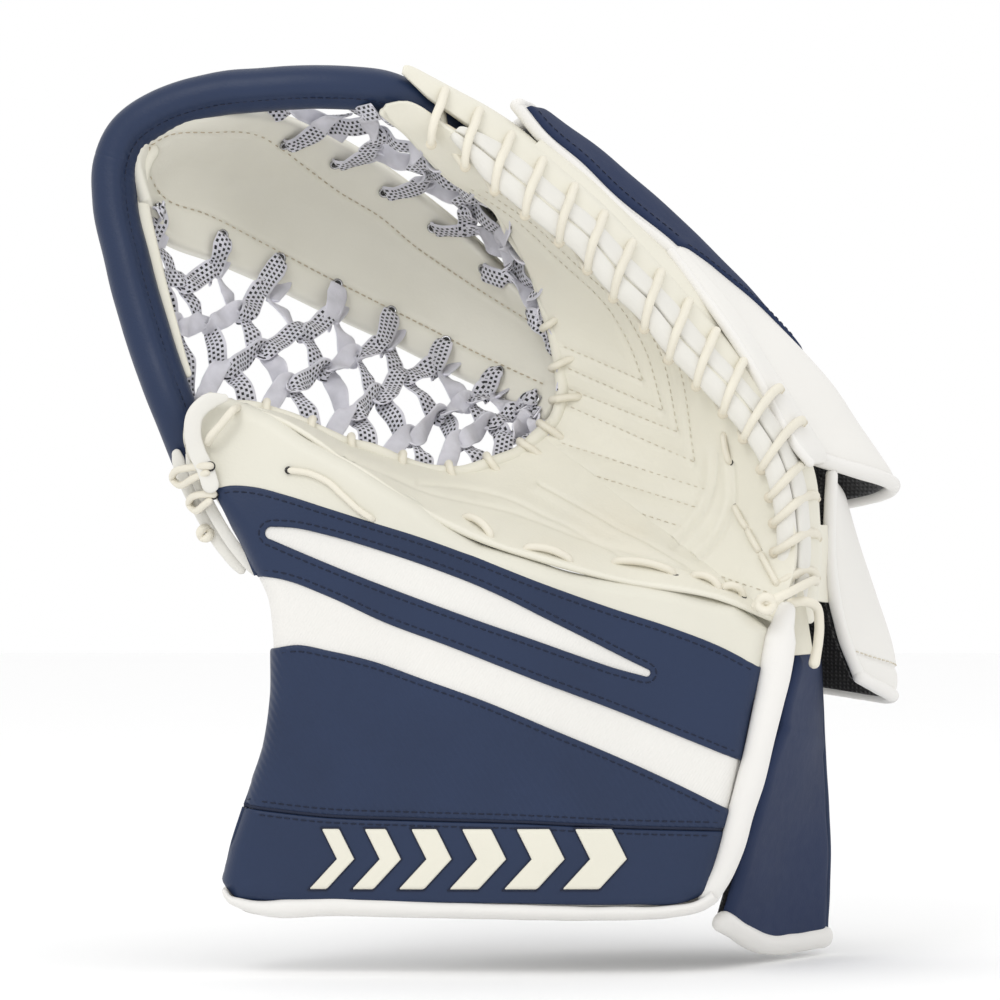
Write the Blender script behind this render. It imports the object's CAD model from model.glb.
"""The looks of an ice-hockey goalie's catch glove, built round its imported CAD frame.

Every length below is in millimetres in the design frame of the part: x across the glove, y into the
glove from the palm's side, z up the hand. metres() turns them into the frame's own metres.
"""
import math

import bmesh
import bpy
import numpy as np
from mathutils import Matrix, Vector
from mathutils.kdtree import KDTree


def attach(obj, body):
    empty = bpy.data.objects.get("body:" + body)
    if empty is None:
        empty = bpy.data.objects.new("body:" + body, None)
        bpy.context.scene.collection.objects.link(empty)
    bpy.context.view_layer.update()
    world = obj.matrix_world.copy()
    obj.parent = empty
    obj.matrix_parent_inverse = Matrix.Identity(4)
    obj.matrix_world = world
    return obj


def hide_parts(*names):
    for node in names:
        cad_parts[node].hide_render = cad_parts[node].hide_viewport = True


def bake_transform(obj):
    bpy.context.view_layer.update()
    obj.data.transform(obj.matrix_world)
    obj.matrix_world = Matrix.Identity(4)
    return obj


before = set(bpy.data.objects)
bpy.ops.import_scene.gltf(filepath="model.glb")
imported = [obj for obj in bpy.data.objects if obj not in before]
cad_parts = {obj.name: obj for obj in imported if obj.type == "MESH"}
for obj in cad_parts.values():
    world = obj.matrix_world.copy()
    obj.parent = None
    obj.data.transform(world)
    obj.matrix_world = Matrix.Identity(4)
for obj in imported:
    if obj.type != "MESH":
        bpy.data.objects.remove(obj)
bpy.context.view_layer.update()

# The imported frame's origin, in the design frame.
WRIST_CENTRE = np.array([48.0, -4.0, 60.0])
CAMERA_DISTANCE = 2000.0
CAMERA_HEIGHT = 168.0
FLOOR_Z = -16.0
# A distance longer than any in the glove.
FAR = 1e6
# How many waves are added up to make one unevenness.
WAVES = 7
# Points nearer than this, in the frame's metres, become one.
WELD = 2e-6

# ------------------------------------------------------------------ curves and grids


def metres(points):
    """Points of the design frame, in mm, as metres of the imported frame."""
    return (np.asarray(points, float) - WRIST_CENTRE) / 1000.0


def to_frame(x, y, z):
    return tuple(float(c) for c in metres((x, y, z)))


def unit(vectors):
    """Vectors at length 1."""
    v = np.asarray(vectors, float)
    length = np.linalg.norm(v, axis=-1, keepdims=True)
    return v / np.maximum(length, 1e-9)


def smooth(points, at):
    """A smooth curve through the points, read at shares `at` of its length. Points may be whole rows."""
    p = np.asarray(points, float)
    step = np.linalg.norm(np.diff(p, axis=0), axis=-1)
    if step.ndim > 1:
        step = step.mean(axis=tuple(range(1, step.ndim)))
    step = np.maximum(step, 1e-6)
    knot = np.concatenate([[0.0], np.cumsum(step)])
    tall = (-1,) + (1,) * (p.ndim - 1)
    wide = step.reshape(tall)
    slope = np.diff(p, axis=0) / wide
    tangent = np.empty_like(p)
    tangent[0] = slope[0]
    tangent[-1] = slope[-1]
    tangent[1:-1] = (slope[:-1] * wide[1:] + slope[1:] * wide[:-1]) / (wide[1:] + wide[:-1])
    x = np.clip(np.asarray(at, float), 0, 1) * knot[-1]
    i = np.clip(np.searchsorted(knot, x, side="right") - 1, 0, len(p) - 2)
    h = step[i].reshape(tall)
    s = ((x - knot[i]) / step[i]).reshape(tall)
    a = 2 * s**3 - 3 * s**2 + 1
    b = s**3 - 2 * s**2 + s
    return a * p[i] + b * h * tangent[i] + (1 - a) * p[i + 1] + (s**3 - s**2) * h * tangent[i + 1]


def evenly(count):
    """Shares from 0 to 1, evenly spaced."""
    return np.linspace(0, 1, count)


def to_edges(count, edge, both=(True, True)):
    """Shares from 0 to 1, crowded within `edge` of the chosen ends so that an edge can be rounded."""
    near = edge * np.array([0, 0.04, 0.14, 0.32, 0.6])
    start = near if both[0] else np.array([0.0])
    stop = 1 - near[::-1] if both[1] else np.array([1.0])
    inner = np.linspace(edge if both[0] else 0, 1 - edge if both[1] else 1, count)
    return np.unique(np.round(np.concatenate([start, inner, stop]), 6))


def run_along(points):
    """How far along a line each of its points is."""
    return np.concatenate([[0], np.cumsum(np.linalg.norm(np.diff(points, axis=0), axis=1))])


def read_rows(at, knots, rows):
    """Rows of numbers, each standing at its knot, read at the places `at`."""
    return np.stack([np.interp(at, knots, column) for column in np.asarray(rows, float).T], axis=1)


def resample(points, step):
    """Points about `step` apart along a smooth curve through the given ones."""
    fine = smooth(points, evenly(20 * len(points)))
    run = run_along(fine)
    count = max(2, int(round(run[-1] / step)) + 1)
    return read_rows(np.linspace(0, run[-1], count), run, fine)


def loft(ribs, us, vs):
    """A grid through ribs: v runs along each rib, and u from the first rib to the last."""
    rows = np.stack([smooth(rib, vs) for rib in ribs])
    return smooth(rows, us)


def coons(bottom, top, left, right, us, vs):
    """A grid that fills four edges: u runs along bottom and top, v along left and right."""
    b, t = smooth(bottom, us), smooth(top, us)
    l, r = smooth(left, vs), smooth(right, vs)
    u = np.asarray(us)[:, None, None]
    v = np.asarray(vs)[None, :, None]
    grid = (1 - v) * b[:, None] + v * t[:, None] + (1 - u) * l[None] + u * r[None]
    grid -= (1 - u) * (1 - v) * b[0] + u * (1 - v) * b[-1] + (1 - u) * v * t[0] + u * v * t[-1]
    return grid


def normals_of(grid, facing):
    """Unit normals of a grid, on the side that looks towards `facing`."""
    du = np.gradient(grid, axis=0)
    dv = np.gradient(grid, axis=1)
    n = unit(np.cross(du, dv))
    if (n @ np.asarray(facing, float)).mean() < 0:
        n = -n
    return n


def border_distance(grid, sides="uUvV"):
    """How far each point of a grid is from the named borders, along the grid's own lines.

    A small letter is the border where u or v is 0, and a capital the one where it is 1.
    """
    far = np.full(grid.shape[:2], FAR)
    for axis, letter in enumerate("uv"):
        step = np.linalg.norm(np.diff(grid, axis=axis), axis=-1)
        run = np.cumsum(np.insert(step, 0, 0, axis=axis), axis=axis)
        if letter in sides:
            far = np.minimum(far, run)
        if letter.upper() in sides:
            far = np.minimum(far, run.take([-1], axis=axis) - run)
    return far


def rounding(distance, radius):
    """0 at an edge, rising to 1 at `radius` from it on a quarter circle."""
    t = 1 - np.clip(distance / radius, 0, 1)
    return np.sqrt(np.maximum(1 - t * t, 0))


def distance_to_line(points, line):
    """Distance of each point to a polyline, both seen from the front, in x and z."""
    p = points[..., [0, 2]]
    far = np.full(p.shape[:-1], FAR)
    line = np.asarray(line, float)
    for a, b in zip(line[:-1], line[1:]):
        ab = b - a
        t = np.clip(((p - a) @ ab) / max(ab @ ab, 1e-9), 0, 1)
        far = np.minimum(far, np.linalg.norm(p - (a + t[..., None] * ab), axis=-1))
    return far


def groove(points, line, depth, width):
    """The height lost by a groove pressed along a line."""
    return -depth * np.exp(-((distance_to_line(points, line) / width) ** 2))


def ripples(points, wavelength, seed):
    """Smooth irregular unevenness between about -1 and 1."""
    rng = np.random.RandomState(seed)
    total = 0
    for _ in range(WAVES):
        direction = unit(rng.normal(size=3))
        pitch = wavelength * rng.uniform(0.6, 1.8)
        total = total + np.sin(points @ direction * 2 * math.pi / pitch + rng.uniform(0, 6.3))
    return total / WAVES**0.5 * 0.7


# ------------------------------------------------------------------ meshes


def shell_faces(rows, columns):
    """Faces of a closed shell: an upper grid, then a lower one of the same size, and the rim between them."""
    size = rows * columns
    faces = []
    for i in range(rows - 1):
        for j in range(columns - 1):
            a = i * columns + j
            faces.append((a, a + columns, a + columns + 1, a + 1))
            faces.append((size + a, size + a + 1, size + a + columns + 1, size + a + columns))
    rim = list(range(columns))
    rim += [i * columns + columns - 1 for i in range(1, rows)]
    rim += [(rows - 1) * columns + j for j in range(columns - 2, -1, -1)]
    rim += [i * columns for i in range(rows - 2, 0, -1)]
    for a, b in zip(rim, rim[1:] + rim[:1]):
        faces.append((a, b, size + b, size + a))
    return faces


def ring_faces(rings, sides, closed=False):
    """Faces between rings of points, and from the last ring back to the first where `closed`."""
    faces = []
    for i in range(rings if closed else rings - 1):
        k = (i + 1) % rings
        for j in range(sides):
            m = (j + 1) % sides
            faces.append((i * sides + j, i * sides + m, k * sides + m, k * sides + j))
    return faces


def end_faces(rings, sides):
    """One face over the first ring and one over the last."""
    last = (rings - 1) * sides
    return [tuple(range(sides))[::-1], tuple(range(last, last + sides))]


def carried_side(along, start):
    """A side direction carried along a path without twisting."""
    side = np.zeros_like(along)
    current = start
    for i, t in enumerate(along):
        current = unit(current - (current @ t) * t)
        side[i] = current
    return side


# One face of a flat lace in section, as shares of its width and of its thickness.
RIBBON_HALF = [(-0.5, 0.12), (-0.42, 0.5), (0, 0.62), (0.42, 0.5), (0.5, 0.12)]


class Mesh:
    """Gathers surfaces and tubes, then becomes one Blender object."""

    def __init__(self):
        self.points = []
        self.faces = []
        self.uvs = []
        self.count = 0

    def add(self, points, faces, uvs=None):
        self.points.append(np.asarray(points, float))
        self.faces.extend([tuple(int(i) + self.count for i in face) for face in faces])
        self.uvs.extend(uvs if uvs is not None else [None] * len(faces))
        self.count += len(points)

    def shell(self, upper, lower):
        """A closed skin over two grids of the same size."""
        self.add(np.vstack([upper.reshape(-1, 3), lower.reshape(-1, 3)]), shell_faces(*upper.shape[:2]))

    def sheet(self, grid, top, bottom, facing):
        """A closed sheet: the grid moved out by `top` and by `bottom` along its normals."""
        n = normals_of(grid, facing)
        top = np.broadcast_to(top, grid.shape[:2])[..., None]
        bottom = np.broadcast_to(bottom, grid.shape[:2])[..., None]
        self.shell(grid + n * top, grid + n * bottom)
        return n

    def ring_sheet(self, grid, top, bottom, facing):
        """The same for a grid whose u runs round and closes on itself."""
        closed = np.concatenate([grid[-1:], grid, grid[:1]])
        n = normals_of(closed, facing)[1:-1]
        rows, columns = grid.shape[:2]
        upper = (grid + n * top[..., None]).reshape(-1, 3)
        lower = (grid + n * bottom[..., None]).reshape(-1, 3)
        size = rows * columns
        faces = []
        for i in range(rows):
            k = (i + 1) % rows
            for j in range(columns - 1):
                a, b = i * columns + j, k * columns + j
                faces.append((a, b, b + 1, a + 1))
                faces.append((size + a, size + a + 1, size + b + 1, size + b))
            for j in (0, columns - 1):
                a, b = i * columns + j, k * columns + j
                faces.append((a, b, size + b, size + a))
        self.add(np.vstack([upper, lower]), faces)

    def tube(self, path, radius, sides=10, flatten=1.0, flat_towards=None, round_ends=True, section=None):
        """A tube along a path. `flatten` shrinks its section along `flat_towards`.

        `section` gives its outline instead, as (across, towards) pairs in radii.
        """
        path = np.asarray(path, float)
        radius = np.broadcast_to(radius, len(path)).astype(float)
        if round_ends:
            first = unit(path[0] - path[1])
            last = unit(path[-1] - path[-2])
            turns = (0.98, 0.75, 0.4)
            lead = [path[0] + first * radius[0] * t for t in turns]
            tail = [path[-1] + last * radius[-1] * t for t in turns[::-1]]
            lead_r = [radius[0] * math.sqrt(1 - t * t) for t in turns]
            tail_r = [radius[-1] * math.sqrt(1 - t * t) for t in turns[::-1]]
            path = np.vstack([lead, path, tail])
            radius = np.concatenate([lead_r, radius, tail_r])
        along = unit(np.gradient(path, axis=0))
        if flat_towards is None:
            across_y = abs(along[0][1]) <= 0.9
            side = carried_side(along, np.array([0.0, 1.0, 0.0] if across_y else [0.0, 0.0, 1.0]))
        else:
            towards = np.asarray(flat_towards, float)
            side = unit(towards - (along @ towards)[:, None] * along)
        other = np.cross(along, side)
        angle = np.linspace(0, 2 * math.pi, sides, endpoint=False)
        across, up = np.sin(angle), np.cos(angle) * flatten
        if section is not None:
            across, up = np.asarray(section, float).T
            sides = len(across)
        ring = side[:, None] * up[None, :, None] + other[:, None] * across[None, :, None]
        points = (path[:, None] + ring * radius[:, None, None]).reshape(-1, 3)
        self.add(points, ring_faces(len(path), sides) + end_faces(len(path), sides))

    def ribbon(self, path, across, width, thick):
        """A flat lace: one face carries u, v from 0 to 1 across it, and the other v from 2 to 3."""
        path = np.asarray(path, float)
        along = unit(np.gradient(path, axis=0))
        across = unit(across - (across * along).sum(1, keepdims=True) * along)
        out = np.cross(along, across)
        width = np.broadcast_to(width, len(path))
        run = run_along(path)
        section = np.array(RIBBON_HALF + [(-a, -b) for a, b in RIBBON_HALF])
        sides = len(section)
        points = (path[:, None] + across[:, None] * (width[:, None] * section[:, 0])[..., None]
                  + out[:, None] * (thick * section[:, 1])[None, :, None])
        uvs = []
        for i in range(len(path) - 1):
            for j in range(sides):
                base = 0 if j < sides // 2 else 2
                low = base + section[j][0] + 0.5
                high = base + section[(j + 1) % sides][0] + 0.5
                uvs.append(((run[i], low), (run[i], high), (run[i + 1], high), (run[i + 1], low)))
        uvs += [[(0, 2.5)] * sides] * 2
        self.add(points.reshape(-1, 3), ring_faces(len(path), sides) + end_faces(len(path), sides), uvs)

    def make(self, name, material, refine=0):
        """The Blender object. `refine` is its levels of subdivision."""
        points = metres(np.vstack(self.points))
        mesh = bpy.data.meshes.new(name)
        mesh.from_pydata(points.tolist(), [], self.faces)
        if any(uv is not None for uv in self.uvs):
            layer = mesh.uv_layers.new(name="lace")
            flat = [c for uv in self.uvs for pair in uv for c in pair]
            layer.data.foreach_set("uv", flat)
        obj = bpy.data.objects.new(name, mesh)
        bpy.context.scene.collection.objects.link(obj)
        bm = bmesh.new()
        bm.from_mesh(mesh)
        bmesh.ops.remove_doubles(bm, verts=bm.verts, dist=WELD)
        bmesh.ops.dissolve_degenerate(bm, edges=bm.edges, dist=WELD / 2)
        bmesh.ops.recalc_face_normals(bm, faces=bm.faces)
        bm.to_mesh(mesh)
        bm.free()
        mesh.polygons.foreach_set("use_smooth", [True] * len(mesh.polygons))
        if refine:
            modifier = obj.modifiers.new("refine", "SUBSURF")
            modifier.levels = refine
            modifier.render_levels = refine
        mesh.materials.append(material)
        return obj


def tree_of(points):
    """A search tree over points, to find the nearest ones."""
    tree = KDTree(len(points))
    for i, p in enumerate(points):
        tree.insert(p, i)
    tree.balance()
    return tree


class Skin:
    """A finished surface that stitches and laces are placed on, found by x and z seen from the front."""

    def __init__(self, points, normals):
        self.points = points.reshape(-1, 3)
        self.normals = normals.reshape(-1, 3)
        self.tree = tree_of(self.points[:, [0, 2, 1]] * (1, 1, 0))

    def at(self, x, z, lift=0.0):
        """The point and normal at x and z, from the nearest points of the surface."""
        near = self.tree.find_n((x, z, 0), 6)
        weight = np.array([1 / (d + 0.05) for _, _, d in near])
        index = [i for _, i, _ in near]
        weight /= weight.sum()
        point = weight @ self.points[index]
        normal = unit(weight @ self.normals[index])
        point[[0, 2]] = x, z
        return point + normal * lift, normal

    def line(self, flat_points, step=3.0, lift=0.0):
        """A line drawn on the surface through points given by x and z."""
        flat = resample(flat_points, step)
        pairs = [self.at(x, z, lift) for x, z in flat]
        return np.array([p for p, _ in pairs]), np.array([n for _, n in pairs])


def stitch(mesh, points, normals, dash=1.7, radius=0.28, lift=0.1):
    """Thread lying in short bridges along a line whose points are one stitch apart."""
    for i in range(len(points) - 1):
        a, b = points[i], points[i + 1]
        share = min(0.9, dash / max(np.linalg.norm(b - a), 1e-6))
        p = a + (b - a) * (0.5 - share / 2)
        q = a + (b - a) * (0.5 + share / 2)
        n = normals[i]
        path = [p - n * 0.25, p + (q - p) * 0.2 + n * lift, p + (q - p) * 0.8 + n * lift, q - n * 0.25]
        mesh.tube(path, radius, sides=5, round_ends=False)


# ------------------------------------------------------------------ materials


class Nodes:
    """Short names for building one material's node tree."""

    def __init__(self, name, rough=0.6, sheen=0.0):
        self.material = bpy.data.materials.new(name)
        self.material.use_nodes = True
        self.tree = self.material.node_tree
        self.shader = self.tree.nodes["Principled BSDF"]
        self.shader.inputs["Roughness"].default_value = rough
        self.shader.inputs["Sheen Weight"].default_value = sheen
        self.shader.inputs["Specular IOR Level"].default_value = 0.3
        self.where = self.new("ShaderNodeTexCoord").outputs["Object"]

    def new(self, kind, **settings):
        node = self.tree.nodes.new(kind)
        for key, value in settings.items():
            setattr(node, key, value)
        return node

    def link(self, a, b):
        self.tree.links.new(a, b)

    def noise(self, scale, detail=3.0):
        node = self.new("ShaderNodeTexNoise")
        node.inputs["Scale"].default_value = scale
        node.inputs["Detail"].default_value = detail
        self.link(self.where, node.inputs["Vector"])
        return node.outputs["Fac"]

    def cells(self, scale, feature="F1"):
        node = self.new("ShaderNodeTexVoronoi", feature=feature)
        node.inputs["Scale"].default_value = scale
        self.link(self.where, node.inputs["Vector"])
        return node.outputs["Distance"]

    def math(self, operation, a, b=0.0, c=0.0):
        node = self.new("ShaderNodeMath", operation=operation)
        for socket, value in zip(node.inputs, (a, b, c)):
            if isinstance(value, (int, float)):
                socket.default_value = value
            else:
                self.link(value, socket)
        return node.outputs[0]

    def ramp(self, factor, stops):
        node = self.new("ShaderNodeValToRGB")
        while len(node.color_ramp.elements) < len(stops):
            node.color_ramp.elements.new(0.5)
        for element, (place, colour) in zip(node.color_ramp.elements, stops):
            element.position = place
            element.color = (*colour, 1)
        self.link(factor, node.inputs["Fac"])
        return node.outputs["Color"]

    def span(self, factor, low, high):
        node = self.new("ShaderNodeMapRange")
        node.inputs["To Min"].default_value = low
        node.inputs["To Max"].default_value = high
        self.link(factor, node.inputs["Value"])
        return node.outputs["Result"]

    def bump(self, height, distance, strength=1.0):
        node = self.new("ShaderNodeBump")
        node.inputs["Distance"].default_value = distance
        node.inputs["Strength"].default_value = strength
        self.link(height, node.inputs["Height"])
        self.link(node.outputs["Normal"], self.shader.inputs["Normal"])

    def colour(self, output):
        self.link(output, self.shader.inputs["Base Color"])

    def roughness(self, output):
        self.link(output, self.shader.inputs["Roughness"])


# A wave texture at scale 1 repeats after this many units.
WAVE_REPEAT = 0.314
# The laces' dots: rows across the lace, mm from dot to dot along it, and half a dot's share of that.
DOT_ROWS = 4.4
DOT_PITCH = 2.25
DOT_SIZE = 0.25


def shades(colour, darker, lighter):
    """A darker and a lighter shade of a colour."""
    return tuple(c * darker for c in colour), tuple(min(1, c * lighter) for c in colour)


def leather(name, colour, rough=0.5, grain=900.0, depth=0.00012, variety=0.05, tint=None):
    """Grained leather: fine pebbles, broad creases and slow changes of colour."""
    n = Nodes(name, rough)
    dark, light = shades(colour, 1 - variety, 1 + variety * 0.5)
    broad = n.noise(14, 4)
    stops = [(0.3, dark), (0.55, colour), (0.8, light)]
    if tint:
        stops = [(0.22, tint), (0.38, dark), (0.58, colour), (0.8, light)]
    n.colour(n.ramp(broad, stops))
    n.roughness(n.span(n.noise(220, 3), rough - 0.06, rough + 0.08))
    pebbles = n.cells(grain, "SMOOTH_F1")
    height = n.math("ADD", n.math("MULTIPLY", pebbles, 0.7), n.math("MULTIPLY", n.noise(160, 5), 0.9))
    n.bump(height, depth, 0.8)
    return n.material


def ribbed(name, colour, rough, pitch, angle, depth, variety=0.05):
    """A skin embossed with fine slanting ribs, as woven nylon shows through its coating."""
    n = Nodes(name, rough)
    turn = n.new("ShaderNodeMapping")
    turn.inputs["Rotation"].default_value = (0, angle, 0)
    n.link(n.where, turn.inputs["Vector"])
    wave = n.new("ShaderNodeTexWave", wave_type="BANDS", bands_direction="X")
    wave.inputs["Scale"].default_value = WAVE_REPEAT / (pitch / 1000)
    wave.inputs["Distortion"].default_value = 0.15
    n.link(turn.outputs["Vector"], wave.inputs["Vector"])
    dark, light = shades(colour, 1 - variety, 1 + variety)
    n.colour(n.ramp(n.noise(20, 4), [(0.3, dark), (0.7, light)]))
    n.roughness(n.span(n.noise(200, 3), rough - 0.05, rough + 0.07))
    height = n.math("ADD", wave.outputs["Fac"], n.math("MULTIPLY", n.noise(500, 3), 0.6))
    n.bump(height, depth, 0.7)
    return n.material


def knit(name, colour, pitch=1.6):
    """Brushed knitted lining."""
    n = Nodes(name, 0.95, 0.3)
    dark, light = shades(colour, 0.7, 1.5)
    rows = n.new("ShaderNodeTexWave", wave_type="BANDS", bands_direction="Z")
    columns = n.new("ShaderNodeTexWave", wave_type="BANDS", bands_direction="X")
    for wave in (rows, columns):
        wave.inputs["Scale"].default_value = WAVE_REPEAT / (pitch / 1000)
        wave.inputs["Distortion"].default_value = 1.5
        n.link(n.where, wave.inputs["Vector"])
    loops = n.math("MULTIPLY", rows.outputs["Fac"], columns.outputs["Fac"])
    n.colour(n.ramp(loops, [(0.1, dark), (0.8, light)]))
    n.bump(n.math("ADD", loops, n.noise(900, 3)), 0.0003)
    return n.material


def dotted_lace(name, plain, dot):
    """Flat woven lace: one face plain, the other with rows of black dots."""
    n = Nodes(name, 0.75, 0.2)
    uv = n.new("ShaderNodeUVMap", uv_map="lace").outputs["UV"]
    parts = n.new("ShaderNodeSeparateXYZ")
    n.link(uv, parts.inputs["Vector"])
    along, across = parts.outputs["X"], parts.outputs["Y"]
    rows = n.math("MULTIPLY", across, DOT_ROWS)
    odd = n.math("MODULO", n.math("FLOOR", rows), 2.0)
    step = n.math("ADD", n.math("DIVIDE", along, DOT_PITCH), n.math("MULTIPLY", odd, 0.5))
    dx = n.math("ABSOLUTE", n.math("SUBTRACT", n.math("FRACT", step), 0.5))
    dy = n.math("ABSOLUTE", n.math("SUBTRACT", n.math("FRACT", rows), 0.5))
    near = n.math("MAXIMUM", dx, n.math("MULTIPLY", dy, 0.82))
    is_dot = n.math("LESS_THAN", near, DOT_SIZE)
    front = n.math("LESS_THAN", across, 1.5)
    inside = n.math("LESS_THAN", n.math("ABSOLUTE", n.math("SUBTRACT", across, 0.5)), 0.45)
    mask = n.math("MULTIPLY", n.math("MULTIPLY", is_dot, front), inside)
    mix = n.new("ShaderNodeMix", data_type="RGBA")
    dark, light = shades(plain, 0.86, 1.08)
    n.link(mask, mix.inputs["Factor"])
    n.link(n.ramp(n.noise(120, 3), [(0.3, dark), (0.7, light)]), mix.inputs["A"])
    mix.inputs["B"].default_value = (*dot, 1)
    n.colour(mix.outputs["Result"])
    weave = n.math("SINE", n.math("MULTIPLY", along, 9.0))
    threads = n.math("SINE", n.math("MULTIPLY", across, 75.0))
    n.bump(n.math("MULTIPLY", weave, threads), 0.00016)
    return n.material


def metal(name):
    """Plated metal with slight stains."""
    n = Nodes(name, 0.22)
    n.shader.inputs["Metallic"].default_value = 1.0
    n.colour(n.ramp(n.noise(300, 2), [(0.3, (0.30, 0.30, 0.31)), (0.7, (0.62, 0.62, 0.63))]))
    n.bump(n.noise(600, 2), 0.00005, 0.3)
    return n.material


def webbing(name, colour):
    """Coarse woven strap."""
    n = Nodes(name, 0.85, 0.25)
    checker = n.new("ShaderNodeTexVoronoi", feature="F1", distance="CHEBYCHEV")
    checker.inputs["Scale"].default_value = 700
    checker.inputs["Randomness"].default_value = 0.35
    n.link(n.where, checker.inputs["Vector"])
    dark, light = shades(colour, 0.6, 1.7)
    n.colour(n.ramp(checker.outputs["Distance"], [(0.1, light), (0.6, dark)]))
    n.bump(checker.outputs["Distance"], 0.0004)
    return n.material


NAVY_COLOUR = (0.0158, 0.0295, 0.0735)
WHITE_COLOUR = (0.785, 0.77, 0.735)
CREAM_COLOUR = (0.76, 0.735, 0.635)
LACE_COLOUR = (0.78, 0.74, 0.63)

NAVY = leather("navy_leather", NAVY_COLOUR, 0.42, 1100, 0.00010, 0.12)
NAVY_MATTE = leather("navy_matte_leather", (0.0125, 0.0245, 0.070), 0.72, 1100, 0.0001, 0.12)
NAVY_RIB = ribbed("navy_ribbed_leather", NAVY_COLOUR, 0.42, 2.3, math.radians(32), 0.00022, 0.1)
NAVY_THREAD = ribbed("navy_thread", (0.012, 0.018, 0.042), 0.6, 0.5, 0.6, 0.0001)
WHITE = leather("white_leather", WHITE_COLOUR, 0.45, 1300, 0.00007, 0.02)
WHITE_RIB = ribbed("white_ribbed_leather", WHITE_COLOUR, 0.46, 1.1, math.radians(-32), 0.00009, 0.02)
RIM_WHITE = leather("rim_welt_leather", (0.735, 0.72, 0.67), 0.42, 1300, 0.00008, 0.03)
BINDING = leather("white_binding", (0.80, 0.785, 0.755), 0.4, 1500, 0.00006, 0.025)
CREAM = leather("cream_leather", CREAM_COLOUR, 0.47, 800, 0.00009, 0.045, tint=(0.74, 0.70, 0.59))
CUFF_CREAM = leather("cuff_top_leather", (0.705, 0.685, 0.595), 0.45, 900, 0.00008, 0.04)
WEB_CREAM = leather("web_leather", (0.74, 0.72, 0.635), 0.45, 900, 0.00008, 0.04)
EDGE_CREAM = leather("raw_leather_edge", (0.73, 0.67, 0.54), 0.65, 700, 0.00015, 0.08)
LACE = leather("leather_lace", LACE_COLOUR, 0.5, 1500, 0.00012, 0.07, tint=(0.72, 0.61, 0.46))
THREAD = ribbed("tan_thread", (0.50, 0.43, 0.32), 0.7, 0.5, 0.6, 0.0001)
PALE_THREAD = ribbed("pale_thread", (0.66, 0.61, 0.50), 0.7, 0.5, 0.6, 0.0001)
LINING = knit("black_lining", (0.010, 0.010, 0.012))
KNIT_SLEEVE = knit("black_knit_sleeve", (0.014, 0.014, 0.016), 1.2)
WEBBING = webbing("black_webbing", (0.016, 0.016, 0.018))
HOLE = knit("dark_hole", (0.02, 0.018, 0.016), 0.8)
NET = dotted_lace("net_lace", (0.80, 0.79, 0.86), (0.012, 0.012, 0.016))
METAL = metal("eyelet_metal")
EMBLEM = leather("emblem_cream", (0.77, 0.745, 0.64), 0.5, 1200, 0.00008, 0.03)

def finish_piece(obj, body=None, blend=None, replaces=(), slot=None, padded=None):
    """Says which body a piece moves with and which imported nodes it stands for."""
    if blend:
        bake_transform(obj)
    else:
        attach(obj, body)
    if replaces:
        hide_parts(*replaces)
    return obj


def sheet_piece(name, material, grid, top, bottom, facing, body=None, **how):
    """One closed sheet as a finished piece. Gives back the normals of its grid."""
    mesh = Mesh()
    n = mesh.sheet(grid, top, bottom, facing)
    finish_piece(mesh.make(name, material), body, **how)
    return n


# ------------------------------------------------------------------ cuff

CUFF_BOTTOM = [(-107, 20), (-103, 12), (-67, 10), (-5, 8), (39, 8), (70, 9), (80, 15)]
CUFF_LEFT = [(-107, 20), (-104, 33), (-97, 54), (-91, 72), (-88, 93), (-88, 114), (-90, 130), (-95, 141),
             (-101, 154), (-109, 166), (-116, 176), (-122, 186), (-123, 196), (-120, 204), (-113, 210)]
CUFF_RIGHT = [(80, 15), (84, 28), (89, 46), (93, 65), (97, 86), (101, 101), (104, 118)]
CUFF_TOP = [(-113, 210), (-101, 206), (-88, 201), (-75, 192), (-58, 183), (-42, 173), (-30, 166),
            (-20, 158), (-8, 151), (9, 146), (27, 140), (44, 137), (67, 134), (91, 128), (104, 118)]
CUFF_OUTLINE = np.array(CUFF_BOTTOM[::-1] + CUFF_LEFT[1:] + CUFF_TOP[1:] + CUFF_RIGHT[::-1][1:], float)
CUFF_DEPTH = 20.0
CUFF_ROUND = 6.0


def on_face(points):
    """Outline points, given by x and z, as points in space."""
    return [(x, 0.0, z) for x, z in points]


def ease(t):
    """0 to 1 with a soft start and end, as t goes from 0 to 1."""
    t = np.clip(t, 0, 1)
    return t * t * (3 - 2 * t)


def cuff_face(x, z):
    """Depth of the board's front at its crown: bent round the wrist, and further back at the thumb's tip."""
    crown = 5 * ((x + 5) / 105) ** 2
    tip = ease((z - 150) / 62) * ease((-x - 40) / 80)
    return -71 + crown + 10 * tip


def cuff_front(x, z):
    """Depth of the padded front: the board's face, rounded off towards the cuff's outline."""
    points = np.stack([x, np.zeros_like(x), z], axis=-1)
    edge = distance_to_line(points, CUFF_OUTLINE)
    return cuff_face(x, z) + CUFF_DEPTH / 2 * (1 - rounding(edge, CUFF_ROUND))


def cuff_skin_at(flat, lift):
    """Points and normals on the cuff's front, `lift` in front of it."""
    flat = np.asarray(flat, float)
    x, z = flat[:, 0], flat[:, 1]
    y = cuff_front(x, z)
    d = 0.4
    slope_x = (cuff_front(x + d, z) - cuff_front(x - d, z)) / (2 * d)
    slope_z = (cuff_front(x, z + d) - cuff_front(x, z - d)) / (2 * d)
    n = unit(np.stack([slope_x, -np.ones_like(x), slope_z], axis=-1))
    return np.stack([x, y, z], axis=-1) + n * lift, n


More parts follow.
